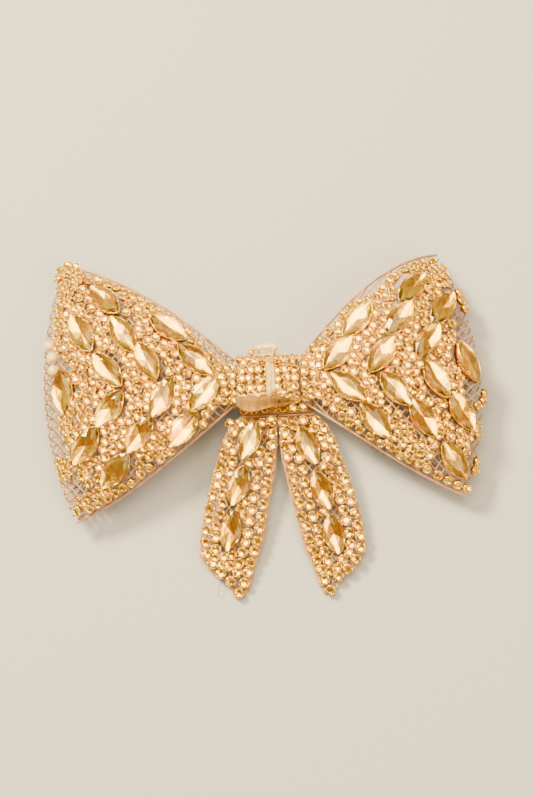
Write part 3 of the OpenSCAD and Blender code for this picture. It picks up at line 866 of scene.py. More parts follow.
def filling(node, taken, jewels, margin, company, gap, clear, allowed=None):
    """Seats for the small stones that fill the gaps between the taken seats, widest gap first.

    A place needs its margin of face all round it, some company of taken seats within reach, a gap to
    the nearest seat, and must be clear of the marquise stones.
    """
    places, normals = skin_under(node, FILL_STEP, margin)
    tables = places + normals * FILL_STAND
    spots = np.array([seat.top for seat in taken])
    away = np.linalg.norm(tables[:, None] - spots[None], axis=2)
    free = away.min(axis=1)
    free[(away < FILL_REACH).sum(axis=1) < company] = 0
    for seat in jewels:
        free[seat.covers(tables, clear)] = 0
    if allowed is not None:
        free[~allowed(tables)] = 0
    made = []
    while free.max() > gap:
        k = int(free.argmax())
        reach = CAD_ROUND_R * min(FILL_LARGEST, free[k] / FILL_FULL)
        lift = chance.uniform(0.0, FILL_LIFT)
        along = (math.cos(chance.uniform(0, 6)), math.sin(chance.uniform(0, 6)), 0)
        made.append(Seat(tables[k] + normals[k] * lift, normals[k], along, reach))
        free = np.minimum(free, np.linalg.norm(tables - tables[k], axis=1))
    return made


# The row below a tail's hinge, and the room that stones need beside each other and as the tail lifts
HINGE_ROW = 2.1 * MM
HINGE_PITCH = 2.9 * MM
HINGE_SPACE = 2.4 * MM
JEWEL_SPACE = 0.8 * MM
LIFT_GAP = 2.0 * MM
LIFT_SPACE = 2 * CAD_ROUND_R + 0.15 * MM
LIFT_DEPTHS = (0.0, 0.9 * MM, 1.8 * MM)
LIFT_REGION = 8 * MM
TAIL_MARQUISE_SIZE = 0.93
EDGE_HEIGHT = 8 * MM
EDGE_SPACE = 2.3 * MM
KNOT_FACE = 3 * MM
KNOT_FRONT = 1.6 * MM

# Single stones sewn to the outer edge of each loop's net, in millimetres
EDGE_STONES = {
    "left": [
        (-71.5, -24.5), (-69.2, -27.0), (-70.6, -29.8),
        (-70.3, 42.9), (-68.4, 45.0), (-70.9, 39.9), (-67.9, 41.6), (-65.6, 44.2),
    ],
    "right": [
        (66.6, 28.6), (68.0, 25.9), (68.3, 22.8), (73.2, -6.3), (72.6, -9.3), (70.6, -11.6),
        (70.2, -18.2), (69.9, -21.4), (69.3, -29.8), (68.6, -33.0),
    ],
}


def placed(node, spots):
    """Seats at chosen spots (x, y) in millimetres on a CAD node's face, or level with it past its edge."""
    tree = skin_tree(node)
    up = Vector((0, 0, 1))
    made = []
    for x, y in spots:
        where, normal, _, _ = tree.ray_cast(Vector((x * MM, y * MM, 0.1)), -up)
        if where is None:
            edge = tree.find_nearest(Vector((x * MM, y * MM, EDGE_HEIGHT)))[0]
            where, normal = Vector((x * MM, y * MM, edge.z)), up
        made.append(Seat(where + normal * FILL_STAND, normal, (1, 0.3, 0), CAD_ROUND_R))
    return made


def nearest(seat, others):
    """How far a seat's table is from the nearest of the others."""
    return min(np.linalg.norm(seat.top - other.top) for other in others)


def lifts_clear(side, seat, fixed):
    """Whether a stone stays clear of the fixed stones and of the loop's net as its tail lifts."""
    tree = skin_tree(f"{side}_loop_net")
    to_hinge = Matrix.Translation(HINGE)
    still = [other.top - other.face * depth for other in fixed for depth in LIFT_DEPTHS]
    for angle in (0, 15, 30, TAIL_LIFT):
        turn = to_hinge @ Matrix.Rotation(math.radians(-angle), 4, "X") @ to_hinge.inverted()
        for depth in LIFT_DEPTHS:
            spot = turn @ Vector(seat.top - seat.face * depth)
            if tree.find_nearest(spot)[3] < LIFT_GAP:
                return False
            if min(np.linalg.norm(place - np.array(spot)) for place in still) < LIFT_SPACE:
                return False
    return True


def hinge_row(side, taken, jewels):
    """Seats in a row across a tail just below its hinge, where no other stone stands."""
    node = f"{side}_tail_backing"
    low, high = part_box(node)
    spots = [(x / MM, (HINGE.y - HINGE_ROW) / MM) for x in np.arange(low[0], high[0], HINGE_PITCH)]
    made = []
    for seat in placed(node, spots):
        on_jewel = any(jewel.covers(seat.top[None], JEWEL_SPACE)[0] for jewel in jewels)
        if nearest(seat, taken) > HINGE_SPACE and not on_jewel:
            made.append(seat)
    return made


def stone_loop(side, knot_row):
    """A loop's chevron rows, its marquises, the stones on its edge and those that fill its gaps."""
    net_node, stem = f"{side}_loop_net", f"{side}_loop"
    chain, jewels = seats(f"{side}_chain_stones"), seats(f"{side}_marquise_stones")
    edge = [seat for seat in placed(net_node, EDGE_STONES[side]) if nearest(seat, chain) > EDGE_SPACE]
    more = edge + filling(net_node, chain + edge + knot_row, jewels, **LOOP_FILL)
    set_stones(f"{side}_chain_stones", f"{stem}_round", "ornament", ROUND, more)
    set_stones(f"{side}_marquise_stones", f"{stem}_marquise", "ornament", MARQUISE, size=1.0)


def stone_tail(side, yoke_row):
    """A tail's columns and marquises, the row below its hinge and the stones that fill its gaps."""
    body = f"{side}_tail"
    rows, jewels = seats(f"{body}_stones"), seats(f"{body}_marquises")
    top_row = hinge_row(side, rows, jewels)
    more = top_row + filling(f"{body}_backing", rows + top_row, jewels, **TAIL_FILL)
    low_end = HINGE.y - LIFT_REGION
    more = [seat for seat in more if seat.top[1] < low_end or lifts_clear(side, seat, yoke_row)]
    set_stones(f"{body}_stones", f"{body}_round", body, ROUND, more)
    set_stones(f"{body}_marquises", f"{body}_marquise", body, MARQUISE, size=TAIL_MARQUISE_SIZE)


def make_stones():
    """All the stones, settings and links, body by body."""
    knot_row, yoke_row = seats("knot_stones"), seats("yoke_stones")
    for side in SIDES:
        stone_loop(side, knot_row)
        stone_tail(side, yoke_row)
    low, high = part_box("knot_band")

    def on_face(places):
        return (places[:, 2] > high[2] - KNOT_FACE) & (places[:, 1] > low[1] + KNOT_FRONT)

    more = filling("knot_band", knot_row + yoke_row, [], **LOOP_FILL, allowed=on_face)
    set_stones("knot_stones", "knot_round", "ornament", ROUND, more)
    set_stones("yoke_stones", "yoke_round", "ornament", ROUND)


# ---------------------------------------------------------------- net

# Strands of the net, how they are drawn, and the cord along a loop's rims
NET_PITCH = 2.3 * MM
NET_WIRE = 0.25 * MM
NET_ANGLE = 50.0
NET_TILT = 0.22
STRAND_STEP = 1.5 * MM
STRAND_SIDES = 5
STRAND_FEWEST = 6
RIM_RADIUS = 0.38 * MM
RIM_SHIFT = 0.35 * MM
RIM_LOW = 0.8 * MM
RIM_START = 0.6 * MM
RIM_SIDES = 7


def cut_loops(points, corners, normal, offset):
    """Closed lines where a plane cuts a closed skin of triangles."""
    height = points @ normal - offset
    above = height > 0
    mixed = corners[(above[corners].sum(axis=1) % 3) != 0]
    links, place = {}, {}
    for tri in mixed:
        ends = []
        for k in range(3):
            i, j = int(tri[k]), int(tri[(k + 1) % 3])
            if above[i] != above[j]:
                key = (min(i, j), max(i, j))
                t = height[i] / (height[i] - height[j])
                place[key] = points[i] + t * (points[j] - points[i])
                ends.append(key)
        links.setdefault(ends[0], []).append(ends[1])
        links.setdefault(ends[1], []).append(ends[0])
    loops, seen = [], set()
    for start in sorted(links):
        if start in seen:
            continue
        line, here = [], start
        while here is not None and here not in seen:
            seen.add(here)
            line.append(place[here])
            here = next((k for k in links[here] if k not in seen), None)
        loops.append(np.array(line))
    return loops


def even_loop(line, gap, passes=2):
    """The closed line with points a gap apart, rounded a little, or None when it is too short."""
    closed = np.vstack([line, line[:1]])
    run = np.concatenate([[0], np.cumsum(np.linalg.norm(np.diff(closed, axis=0), axis=1))])
    count = int(run[-1] / gap)
    if count < STRAND_FEWEST:
        return None
    at = np.linspace(0, run[-1], count, endpoint=False)
    even = np.column_stack([np.interp(at, run, closed[:, k]) for k in range(3)])
    for _ in range(passes):
        even = even * 0.5 + (np.roll(even, 1, 0) + np.roll(even, -1, 0)) * 0.25
    return even


def weave_net(build, skin, pitch, wire, tilt):
    """Two families of strands round a closed skin, crossing in diamonds."""
    points, corners = skin
    for way in (1, -1):
        angle = math.radians(NET_ANGLE * way)
        normal = unit((math.sin(angle), math.cos(angle), tilt * way))
        reach = points[np.unique(corners)] @ normal
        for offset in np.arange(reach.min() + pitch / 2, reach.max(), pitch):
            for line in cut_loops(points, corners, normal, offset):
                strand = even_loop(line, STRAND_STEP)
                if strand is not None:
                    strand[:, 2] = np.maximum(strand[:, 2], cad_box[0].z + wire)
                    add_tube(build, strand, wire, STRAND_SIDES, closed=True)


def edge_line(skin, along, across, way, low, high, count=40):
    """The edge of a skin towards one way of axis `across`, at stations from low to high on axis `along`."""
    normal = np.eye(3)[along]
    line = []
    for station in np.linspace(low, high, count):
        found = np.vstack(cut_loops(*skin, normal, station))
        line.append(found[(found[:, across] * way).argmax()])
    return np.array(line)


def make_loop(side):
    """A loop's net, strand by strand, with a double cord along its upper and its lower rim."""
    node = f"{side}_loop_net"
    skin = outer_skin(node)
    build = Build()
    weave_net(build, skin, NET_PITCH, NET_WIRE, NET_TILT)
    used = skin[0][np.unique(skin[1])]
    sign = -1 if side == "left" else 1
    inner = np.abs(used[:, 0]).min() + RIM_START
    for way in (1, -1):
        corner = used[(used[:, 1] * way).argmax()]
        edge = edge_line(skin, 0, 1, way, sign * inner, corner[0] - sign * RIM_LOW)
        edge[:, 2] = np.maximum(edge[:, 2], cad_box[0].z + RIM_LOW)
        for shift in (RIM_SHIFT, -RIM_SHIFT):
            add_tube(build, edge + np.array((0, 0, shift)), RIM_RADIUS, RIM_SIDES)
    piece = build.piece(node + "_strands", "ornament", "net", [net], [node])


# ---------------------------------------------------------------- tails

# A tail's strands, rolled end, corded edge and folded edge, and the cloth that it hangs by
TAIL_PITCH = 2.0 * MM
TAIL_WIRE = 0.2 * MM
TAIL_ROLL = 0.4 * MM
TAIL_CORD = 0.42 * MM
CORD_INSET = 0.3 * MM
FOLD_WIDTH = 1.9 * MM
FOLD_THICK = 1.05 * MM
FOLD_CROWN = 0.12 * MM
CLOTH_DROP = 0.75 * MM
CLOTH_STATIONS = 40
YOKE_RIPPLE = 0.05 * MM
HINGE_CLOTH_THICK = 0.3 * MM
HINGE_CLOTH_RIPPLE = 0.03 * MM
HINGE_CLOTH_EDGES = (0.4 * MM, 11.5 * MM)


def tail_middle(side, y):
    """Height of the middle of a tail's backing at y."""
    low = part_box(f"{side}_tail_backing")[0]
    top, tip = HINGE.z, low[2] + TAIL_ROLL
    return top - (HINGE.y - y) * (top - tip) / (HINGE.y - low[1])


def make_tail(side):
    """A tail's net with corded edges and a rolled upper end, and the cloth folded over its inner edge."""
    node, body = f"{side}_tail_backing", f"{side}_tail"
    skin = outer_skin(node)
    build = Build()
    weave_net(build, skin, TAIL_PITCH, TAIL_WIRE, 0.0)
    low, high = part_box(node)
    for way in (1, -1):
        edge = edge_line(skin, 1, 0, way, low[1] + 0.6 * MM, high[1] - 0.9 * MM, 60)
        edge[:, 2] = [tail_middle(side, y) for y in edge[:, 1]]
        edge[:, 0] -= way * CORD_INSET
        add_tube(build, edge, TAIL_CORD, RIM_SIDES)
    across = np.vstack(cut_loops(*skin, np.array((0, 1.0, 0)), HINGE.y - 0.1 * MM))[:, 0]
    roll = [(x, HINGE.y, HINGE.z) for x in np.linspace(across.min(), across.max(), 24)]
    add_tube(build, roll, 0.6 * TAIL_ROLL, 8)
    piece = build.piece(f"{side}_tail_net", body, "tail_fabric", [net], [node])
    make_tail_fold(side)


def make_tail_fold(side):
    """The pale cloth edge that is folded over along a tail's inner side."""
    node, body = f"{side}_tail_backing", f"{side}_tail"
    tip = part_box(node)[0][1]
    inner = 1 if side == "left" else -1
    edge = edge_line(outer_skin(node), 1, 0, inner, tip + 3 * MM, HINGE.y - 1.0 * MM, 70)
    edge[:, 2] = [tail_middle(side, y) + 0.1 * MM for y in edge[:, 1]]
    wave = 0.12 * MM * np.sin(np.linspace(0, 21, len(edge))) + chance.normal(0, 0.03 * MM, len(edge))
    overhang = np.interp(edge[:, 1], (HINGE.y - 16 * MM, HINGE.y - 6 * MM), (0.75 * MM, 0.05 * MM))
    edge[:, 0] -= inner * (FOLD_WIDTH / 2 - overhang)
    build = Build()
    add_ribbon(build, edge, FOLD_WIDTH, FOLD_THICK, (1, 0, 0), FOLD_CROWN, wave)
    return build.piece(f"{side}_tail_fold", body, "tail_fabric", [tail_cloth], turn_out=True)


def cloth_strip(build, low_x, high_x, stations, thick, ripple):
    """A soft strip between two values of X, through (y, z) stations, with fine ripples across it."""
    rings = []
    for x in np.linspace(low_x, high_x, CLOTH_STATIONS):
        shift = ripple * math.sin(x / MM * 1.9) + ripple * 0.5 * math.sin(x / MM * 4.3 + 1)
        path = curve_through([(x, y, z + shift) for y, z in stations], 12)
        rings.append(np.vstack([path + (0, 0, thick / 2), path[::-1] - (0, 0, thick / 2)]))
    add_loft(build, rings)


def make_yoke():
    """The cloth that joins the tails under the knot, and the two soft folds that the tails hang by."""
    low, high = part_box("tail_yoke")
    build = Build()
    middle = (low[2] + high[2]) / 2
    stations = [(low[1], middle), (high[1], middle)]
    cloth_strip(build, low[0], high[0], stations, high[2] - low[2], YOKE_RIPPLE)
    build.piece("tail_yoke_cloth", "ornament", "tail_fabric", [yoke_cloth], ["tail_yoke"], turn_out=True)
    for side in SIDES:
        make_hinge_cloth(side)


def make_hinge_cloth(side):
    """The soft fold that crosses one tail's hinge, from the yoke to the tail's first stones."""
    sign = -1 if side == "left" else 1
    first, last = sorted(HINGE.x + sign * edge for edge in HINGE_CLOTH_EDGES)
    stations = [(HINGE.y + 2.6 * MM, HINGE.z - CLOTH_DROP), (HINGE.y, HINGE.z - CLOTH_DROP)]
    for y in (HINGE.y - 2.0 * MM, HINGE.y - 5.0 * MM, HINGE.y - 8.0 * MM):
        stations.append((y, tail_middle(side, y) - CLOTH_DROP))
    build = Build()
    cloth_strip(build, first, last, stations, HINGE_CLOTH_THICK, HINGE_CLOTH_RIPPLE)
    piece = build.piece(f"{side}_tail_hinge_cloth", None, "tail_fabric", [yoke_cloth], turn_out=True)
    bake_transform(piece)


# ---------------------------------------------------------------- knot

# The band's section, its pleats and the roll of its edges in millimetres, and the flutes of the core
KNOT_ROUNDING = 3 * MM
PROFILE_STEP = 0.45 * MM
PROFILE_TURNS = 8
PLEAT_DEPTH = 0.22
EDGE_ROLL = 0.9
BAND_THICK = 1.15 * MM
CORE_STATIONS = 30
CORE_AROUND = 60
CORE_FLUTES = 11


def rounded_profile(node, radius):
    """Evenly spaced points (y, z) round a CAD band seen along X, with the way out at each."""
    low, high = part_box(node)
    points = []
    for k in range(4):
        cy = high[1] - radius if k in (0, 3) else low[1] + radius
        cz = high[2] - radius if k < 2 else low[2] + radius
        for i in range(PROFILE_TURNS + 1):
            a = math.radians(90 * k + 90 * i / PROFILE_TURNS)
            points.append((0, cy + radius * math.cos(a), cz + radius * math.sin(a)))
    line = even_loop(np.array(points), PROFILE_STEP, passes=0)[:, 1:]
    way = np.roll(line, -1, 0) - np.roll(line, 1, 0)
    return line, unit_rows(np.column_stack([way[:, 1], -way[:, 0]]))


def make_knot_band():
    """The net wrapped round the middle, with gathered pleats and rolled side edges."""
    line, out = rounded_profile("knot_band", KNOT_ROUNDING)
    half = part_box("knot_band")[1][0]
    turn = np.linspace(0, 2 * math.pi, len(line), endpoint=False)
    rings = []
    for share in np.linspace(-1, 1, 61):
        x = half * share
        pleat = np.abs(np.sin(x / MM * 1.15 + 0.5 * np.sin(turn * 2)))
        depth = (PLEAT_DEPTH * pleat + EDGE_ROLL * abs(share) ** 24) * MM
        rings.append(np.column_stack([np.full(len(line), x), line - out * depth[:, None]]))
    for share in np.linspace(0.985, -0.985, 31):
        rings.append(np.column_stack([np.full(len(line), half * share), line - out * BAND_THICK]))
    piece = lofted_piece("knot_band_cloth", "knot_fabric", knot_cloth, "knot_band", rings, capped=False)


def make_core():
    """The loops' inner ends, drawn together in flutes."""
    low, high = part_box("gathered_core")
    middle, radius = (low[2] + high[2]) / 2, (high[2] - low[2]) / 2
    turns = np.linspace(0, 2 * math.pi, CORE_AROUND, endpoint=False)
    rings = []
    for x in np.linspace(low[0], high[0], CORE_STATIONS):
        r = radius * (0.9 + 0.1 * np.sin(CORE_FLUTES * turns + 0.4 * math.sin(x / MM)))
        ring = [np.full(CORE_AROUND, x), r * np.cos(turns), middle + r * np.sin(turns)]
        rings.append(np.column_stack(ring))
    lofted_piece("gathered_core_flutes", "net", net, "gathered_core", rings)


# The hem's section (y, z) and the lower front corner of the band that it springs from, in millimetres
FLAP_SECTION = [(-6.0, 19.35), (-7.4, 19.1), (-8.4, 18.3), (-9.2, 17.5), (-9.9, 17.1), (-10.4, 17.0)]
FLAP_ROOT = (-4.4, 14.2)
FLAP_THICK = 0.3
FLAP_RIM = 0.32 * MM
# Share of the section that each station along X reaches: deepest at the left, thin at the right
FLAP_LOBES = [(-11.2, 0.62), (-9.6, 0.95), (-7.2, 1.14), (-4.4, 1.1), (-1.6, 0.98), (0.8, 0.9),
              (2.6, 0.86), (5.2, 0.8), (7.8, 0.72), (10.6, 0.55)]


def make_flap():
    """The knot's lower hem: a folded lip with a pale rim that hangs over the first stones of the tails."""
    low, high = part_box("knot_flap")
    xs, shares = np.array(FLAP_LOBES).T
    section, root = np.array(FLAP_SECTION), np.array(FLAP_ROOT)
    rings, rim = [], []
    for x in np.linspace(xs[0], xs[-1], 90):
        share = np.interp(x, xs, shares) * (1 + 0.008 * math.sin(x * 5.1))
        outer = root + (section - root) * share
        outer[0] -= (0.35 * math.sin(x * 1.3) + 0.25 * math.sin(x * 3.1), 0.25 + 0.15 * math.sin(x * 2.2))
        outer[2:, 1] += np.linspace(0.2, 1.0, 4) * (0.5 * math.sin(x * 0.95 + 1) + 0.28 * math.sin(x * 2.3))
        inner = outer - (0, FLAP_THICK)
        ring = np.vstack([curve_through(np.insert(outer, 0, x, 1), 20),
                          curve_through(np.insert(inner, 0, x, 1), 20)[::-1]])
        rings.append(ring * MM)
        rim.append(np.insert(outer[0] + (0.1, 0.1), 0, x) * MM)
    build = Build()
    add_loft(build, rings)
    add_tube(build, rim, FLAP_RIM, 7, slots=1)
    build.piece("knot_flap_fold", "ornament", "knot_fabric", [flap_cloth, thread_shade], ["knot_flap"],
                turn_out=True)
    frays = Build()
    y, z = high[1] / MM - 0.8, low[2] / MM + 1.4
    roots = [np.array((x, y, z)) * MM for x in chance.uniform(-10.4, -7.4, 26)]
    add_fibres(frays, roots, (-0.5, -0.7, 0.1), 0.45, (0.8 * MM, 2.2 * MM), 0.05 * MM)
    frays.piece("knot_flap_fray", "ornament", "knot_fabric", [flap_cloth])


FILM_THICK = 0.3 * MM
FILM_POINTS = 70


def make_strap():
    """The clear film over the knot, pulled down at both ends, with a second fold along its left side."""
    low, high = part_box("clear_strap")
    half = FILM_THICK / 2
    front, foot = high[2] - half, low[2]
    route = [
        (low[1] + half, foot), (low[1] + half, front - 3.4 * MM), (low[1] + 1.1 * MM, front - 1.3 * MM),
        (-5 * MM, front), (0, front + 0.05 * MM), (5 * MM, front), (high[1] - 1.1 * MM, front - 1.3 * MM),
        (high[1] - half, front - 3.4 * MM), (high[1] - half, foot),
    ]
    middle = (low[0] + high[0]) / 2
    swayed = [(middle + 0.12 * MM * math.sin(k * 2.1), y, z) for k, (y, z) in enumerate(route)]
    path = curve_through(swayed, FILM_POINTS)
    width = (high[0] - low[0]) * (1.15 + 0.07 * np.sin(np.linspace(0, 9, FILM_POINTS)))
    build = Build()
    ragged = chance.normal(0, 0.02 * MM, FILM_POINTS)
    add_ribbon(build, path, width, FILM_THICK, (1, 0, 0), 0.15 * MM, ragged)
    fold = path + np.array((-0.45, 0, 0.22)) * MM
    ragged = chance.normal(0, 0.03 * MM, FILM_POINTS)
    add_ribbon(build, fold, 1.1 * MM, half, (1, 0, 0.1), 0.18 * MM, ragged)
    build.piece("clear_strap_film", "ornament", "clear_film", [film], ["clear_strap"], turn_out=True)


TAPE_POINTS = 44
TAPE_THICK = 0.5 * MM
CREASE_POINTS = 16
CREASE_WIDTH = 2.2 * MM
CREASE_THICK = 0.32 * MM
# Each crease in the folded tape: its share of the tape's width and how far it rises, in millimetres
CREASES = ((0.2, 0.5), (0.52, 0.9), (0.8, 0.3))


def make_tape():
    """The white tape's folded end that stands up behind the knot."""
    low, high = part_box("tape_end")
    y0, y1, z0, z1 = (v / MM for v in (low[1], high[1], low[2], high[2]))
    route = [(y0 + 0.2, z0 + 0.4), (y0 + 1.2, z0 + 0.8), (y1 - 1.2, z1 - 1.3), (y1 - 0.5, z1 - 0.6),
             (y1 - 0.6, z1 - 0.2), (y1 - 1.6, z1 - 0.5), (y0 + 1.2, z0 + 1.5), (y0 + 0.2, z0 + 1.2)]
    middle = (low[0] + high[0]) / 2
    path = curve_through([(middle, y * MM, z * MM) for y, z in route], TAPE_POINTS)
    width = (high[0] - low[0]) * (0.8 + 0.08 * np.sin(np.linspace(0, 17, TAPE_POINTS)))
    build = Build()
    ragged = chance.normal(0, 0.13 * MM, TAPE_POINTS)
    add_ribbon(build, path, width, TAPE_THICK, (1, 0, 0), 0.3 * MM, ragged)
    for share, rise in CREASES:
        x = low[0] + share * (high[0] - low[0])
        fold = [
            (x, (y0 + 1.6) * MM, (z1 - 1.0) * MM), (x + 0.4 * MM, (y1 - 1.2) * MM, (z1 + rise) * MM),
            (x - 0.3 * MM, (y1 + 0.1) * MM, (z1 + rise - 0.4) * MM),
            (x, (y1 + 0.2) * MM, (z1 - 1.3) * MM),
        ]
        ragged = chance.normal(0, 0.1 * MM, CREASE_POINTS)
        crease = curve_through(fold, CREASE_POINTS)
        add_ribbon(build, crease, CREASE_WIDTH, CREASE_THICK, (1, 0.15, 0), 0.2 * MM, ragged)
    build.piece("tape_end_fold", "ornament", "tape", [tape_cloth], ["tape_end"], turn_out=True)
    make_tape_fray()


LIP_FIBRES = 260
SIDE_FIBRES = 50


def make_tape_fray():
    """The tape's frayed warp, along its lip and down both sides."""
    low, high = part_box("tape_end")
    middle = (low[0] + high[0]) / 2
    frays = Build()
    lip = []
    for _ in range(LIP_FIBRES):
        x = chance.uniform(low[0] + 0.3 * MM, high[0] - 0.3 * MM)
        lip.append(np.array((x, high[1] - 0.9 * MM, high[2] - chance.uniform(0.2, 1.2) * MM)))
    add_fibres(frays, lip, (0, 0.6, 0.75), 0.45, (0.6 * MM, 1.9 * MM), 0.075 * MM)
    for x in (low[0] + 0.2 * MM, high[0] - 0.2 * MM):
        ys = chance.uniform(low[1] + MM, high[1] - 0.7 * MM, SIDE_FIBRES)
        roots = [np.array((x, y, high[2] - 0.9 * MM)) for y in ys]
        way = (math.copysign(1, x - middle), 0.2, 0.3)
        add_fibres(frays, roots, way, 0.35, (0.4 * MM, 1.2 * MM), 0.05 * MM)
    frays.piece("tape_end_fray", "ornament", "tape", [tape_cloth])


# The bead's section (out from its hole's axis, along the axis), in millimetres
BEAD_SECTION = [(0.28, -0.42), (0.5, -0.62), (0.85, -0.6), (1.15, -0.25), (1.18, 0.1), (1.05, 0.42),
                (0.75, 0.62), (0.45, 0.6), (0.28, 0.38)]
BEAD_AXIS = (0.84, -0.3, 0.45)
BEAD_AROUND = 28
# How far each loop of thread by the bead spreads and rises, in millimetres
BEAD_LOOPS = ((1.5, 1.5), (2.1, 0.9), (1.1, 2.1))


def make_bead():
    """The small gold bead by the tape, with loops of the thread that held it."""
    centre = box_middle("gold_bead")
    axis = unit(BEAD_AXIS)
    across, up = square_to(axis)
    turns = np.linspace(0, 2 * math.pi, BEAD_AROUND, endpoint=False)
    flat = np.outer(np.cos(turns), across) + np.outer(np.sin(turns), up)
    rings = [centre + (axis * h + flat * r) * MM for r, h in BEAD_SECTION]
    lofted_piece("gold_bead_round", "gold_bead", bead_gold, "gold_bead", rings, capped=False, tones=0.9)
    loops = Build()
    for spread, rise in BEAD_LOOPS:
        route = [(-0.6, -0.9), (-spread, 0.3), (-spread * 0.4, rise), (spread * 0.6, rise * 0.8),
                 (0.7, -0.7)]
        path = [centre + np.array((x, y, 0.5 + 0.15 * y)) * MM for x, y in route]
        add_thread(loops, path, 24, 0.075 * MM)
    loops.piece("gold_bead_threads", "ornament", "thread", [bead_gold])


# ---------------------------------------------------------------- pearls and loose threads

# How a pearl is drawn, its hole as a share of its radius and as an angle from its axis, and the threads
PEARL_AROUND = 40
PEARL_HOLE = 0.11
PEARL_HOLE_TURN = 0.16
THREAD_DROP = 2.2 * MM
PEARL_THREAD = 0.16 * MM
LOOSE_THREAD = 0.12 * MM


def island_middle(points, corners):
    """The middle of one solid's box."""
    used = points[np.unique(corners)]
    return (used.min(0) + used.max(0)) / 2


def add_pearl(build, centre, axis, radius, number):
    """One pearl, a little uneven, with the thread's hole through it along its axis."""
    across, up = square_to(axis)
    turns = np.linspace(0, 2 * math.pi, PEARL_AROUND, endpoint=False)
    flat = np.cos(turns)[:, None] * across + np.sin(turns)[:, None] * up
    rings = []
    for a in np.linspace(PEARL_HOLE_TURN, math.pi - PEARL_HOLE_TURN, 25):
        swell = 1 + 0.012 * math.sin(3 * a + number) + 0.01 * np.sin(2 * turns + 1.3 * number)
        rings.append(centre + radius * swell[:, None] * (axis * math.cos(a) + flat * math.sin(a)))
    rings += [centre + radius * (axis * h + flat * PEARL_HOLE) for h in (-0.8, 0, 0.8)]
    add_loft(build, rings, capped=False)


def make_pearls():
    """The pearls on their thread, whose ends go down to the loop."""
    centres = sorted((island_middle(*island) for island in cad_islands("pearls")), key=lambda c: c[1])
    low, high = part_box("pearls")
    radius = (high[1] - low[1] - (centres[-1][1] - centres[0][1])) / 2
    ends = [centres[0] + (centres[0] - centres[1]) * 0.75, centres[-1] + (centres[-1] - centres[-2]) * 0.75]
    for end in ends:
        end[2] -= THREAD_DROP
    route = [ends[0], *centres, ends[1]]
    build = Build()
    for k, centre in enumerate(centres):
        add_pearl(build, centre, unit(route[k + 2] - route[k]), radius, k)
    build.piece("pearl_beads", "ornament", "pearl", [pearl], ["pearls"], turn_out=True)
    thread = Build()
    add_tube(thread, curve_through(route, 40), PEARL_THREAD)
    thread.piece("pearl_thread_strand", "ornament", "thread", [thread_shade], ["pearl_thread"])


def make_loop_threads():
    """Threads that have worked loose at the right loop's edge and beside the knot."""
    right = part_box("right_loop_net")[1][0] / MM
    build = Build()
    for route in (
        [(right - 12.5, 37.5, 12.5), (right - 11.2, 35.6, 13.4), (right - 10.6, 32.5, 13.0)],
        [(right - 2.5, 8.5, 12), (right - 0.2, 6, 13.4), (right + 0.9, 2.4, 13.6),
         (right + 0.4, -1.2, 12.8), (right - 1.3, -3.6, 11.5)],
        [(12, -7.4, 14.2), (16, -9.3, 13.4), (21, -13.4, 13), (24, -14.2, 13.6)],
    ):
        add_thread(build, np.array(route) * MM, 26, LOOSE_THREAD)
    build.piece("loop_loose_threads", "ornament", "thread", [fray_shade])


def make_left_tail_thread():
    """The one thread that lies across the left tail's tip."""
    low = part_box("left_tail_backing")[0]
    edge, tip = low[0] / MM, low[1] / MM
    route = [(edge + 7.0, tip + 8.6, 3.2), (edge + 6.2, tip + 6.2, 3.0), (edge + 5.9, tip + 3.4, 2.2),
             (edge + 5.3, tip + 1.4, 1.2)]
    build = Build()
    add_thread(build, np.array(route) * MM, 20, 0.13 * MM)
    build.piece("left_tail_loose_threads", "left_tail", "thread", [fray_shade])


def make_right_tail_fray():
    """The frayed net along the right tail's lower side, and a few fibres at its inner side."""
    low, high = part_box("right_tail_backing")
    edge, tip = high[0] / MM, low[1] / MM
    build = Build()
    roots = [np.array((edge - 13.5 + 11 * t, tip + 0.8 + 12.5 * t ** 1.4, 1.6)) * MM
             for t in chance.uniform(0, 1, 46)]
    add_fibres(build, roots, (0.75, -0.6, 0.15), 0.4, (0.8 * MM, 2.6 * MM), 0.065 * MM)
    inner = [np.array((low[0] / MM + 6.2, y, tail_middle("right", y * MM) / MM + 0.9)) * MM
             for y in chance.uniform(-39.5, -37.5, 9)]
    add_fibres(build, inner, (-0.9, -0.2, 0.3), 0.4, (0.9 * MM, 2.4 * MM), 0.07 * MM)
    build.piece("right_tail_loose_threads", "right_tail", "thread", [fray_shade])


# ---------------------------------------------------------------- clip

# Points nearer than the weld are one, and edges that turn more than the sharp angle are rounded
WELD = 0.001 * MM
FLAT_ANGLE = math.radians(3)
SHARP_ANGLE = 0.6
# Each metal part's node, body, slot and the width of its rounded arrises
METAL_PARTS = (
    ("upper_jaw", "ornament", "clip_metal", 0.09 * MM),
    ("lower_jaw", "lower_jaw", "clip_metal", 0.09 * MM),
    ("hinge_pin", "ornament", "pin_metal", 0.12 * MM),
)


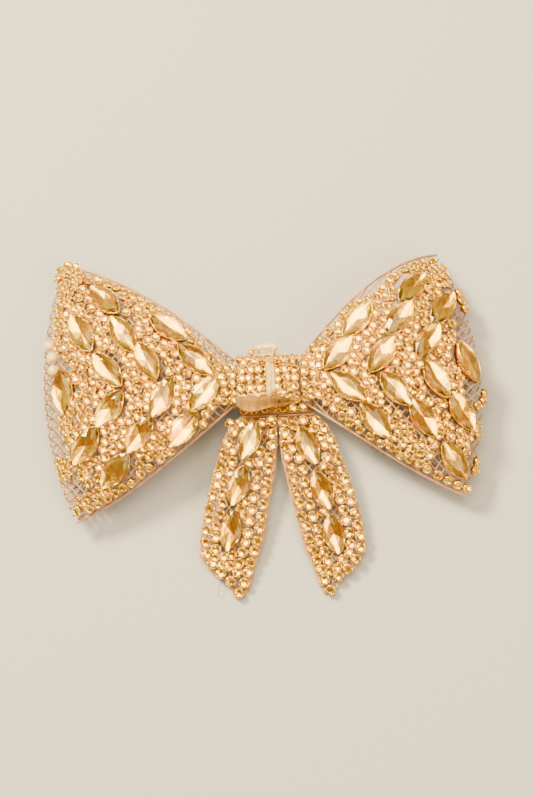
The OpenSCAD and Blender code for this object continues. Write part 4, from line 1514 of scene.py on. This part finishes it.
def make_metal(node, body, slot, width):
    """A metal part with the rounded arrises of stamped sheet, cut from its CAD solid."""
    mesh = frame["nodes"][node].data.copy()
    mesh.name = node + "_rounded"
    edit = bmesh.new()
    edit.from_mesh(mesh)
    bmesh.ops.remove_doubles(edit, verts=edit.verts, dist=WELD)
    bmesh.ops.dissolve_limit(edit, angle_limit=FLAT_ANGLE, verts=edit.verts, edges=edit.edges)
    sharp = [e for e in edit.edges if len(e.link_faces) == 2 and e.calc_face_angle(0) > SHARP_ANGLE]
    bmesh.ops.bevel(edit, geom=sharp, offset=width, segments=2, affect="EDGES", clamp_overlap=True)
    bmesh.ops.triangulate(edit, faces=[f for f in edit.faces if len(f.verts) > 4])
    edit.to_mesh(mesh)
    edit.free()
    mesh.materials.clear()
    mesh.materials.append(steel)
    made = linked(node + "_rounded", mesh)
    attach(made, body)
    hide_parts(node)


FELT_AROUND = 120
FELT_NAP = 0.02 * MM
# The pad's rounded edge: share of its outline and share of its half height, from back to front
FELT_EDGE = ((0.0, -1), (0.5, -1), (0.94, -1), (0.99, -0.8), (1.0, -0.3),
             (1.0, 0.3), (0.99, 0.8), (0.94, 1), (0.5, 1), (0.0, 1))


def make_felt():
    """The felt pad between the clip and the knot, with soft edges and a nap."""
    low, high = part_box("felt_pad")
    centre = box_middle("felt_pad")
    size = np.array(high) - np.array(low)
    turns = np.linspace(0, 2 * math.pi, FELT_AROUND, endpoint=False)
    half_x, half_y = size[0] / 2, size[1] / 2
    straight = half_x - half_y
    outline = np.column_stack([
        np.clip(np.cos(turns) * 1.6, -1, 1) * straight + half_y * np.cos(turns),
        half_y * np.sign(np.sin(turns)) * np.abs(np.sin(turns)) ** 0.55,
    ])
    rings = []
    for share, height in FELT_EDGE:
        fuzz = chance.normal(0, FELT_NAP, FELT_AROUND) * (share > 0.9)
        flat = outline * max(share, 0.01) + outline / half_x * fuzz[:, None] + centre[:2]
        z = centre[2] + size[2] / 2 * height * 0.98
        rings.append(np.column_stack([flat, np.full(FELT_AROUND, z)]))
    piece = lofted_piece("felt_pad_soft", "felt", felt_cloth, "felt_pad", rings)


def colour_plain(node, shade):
    """Colours a CAD node that is kept as it is."""
    materials = frame["nodes"][node].data.materials
    materials.clear()
    materials.append(shade)


# ---------------------------------------------------------------- building it all

make_camera()
make_world()
make_floor()
for light in LIGHTS:
    make_light(*light)
make_stones()
for side in SIDES:
    make_loop(side)
for side in SIDES:
    make_tail(side)
make_yoke()
make_knot_band()
make_core()
make_flap()
make_strap()
make_tape()
make_bead()
make_pearls()
make_loop_threads()
make_left_tail_thread()
make_right_tail_fray()
make_felt()
for part in METAL_PARTS:
    make_metal(*part)
colour_plain("binding_thread", thread_shade)
colour_plain("clip_spring", wire_steel)
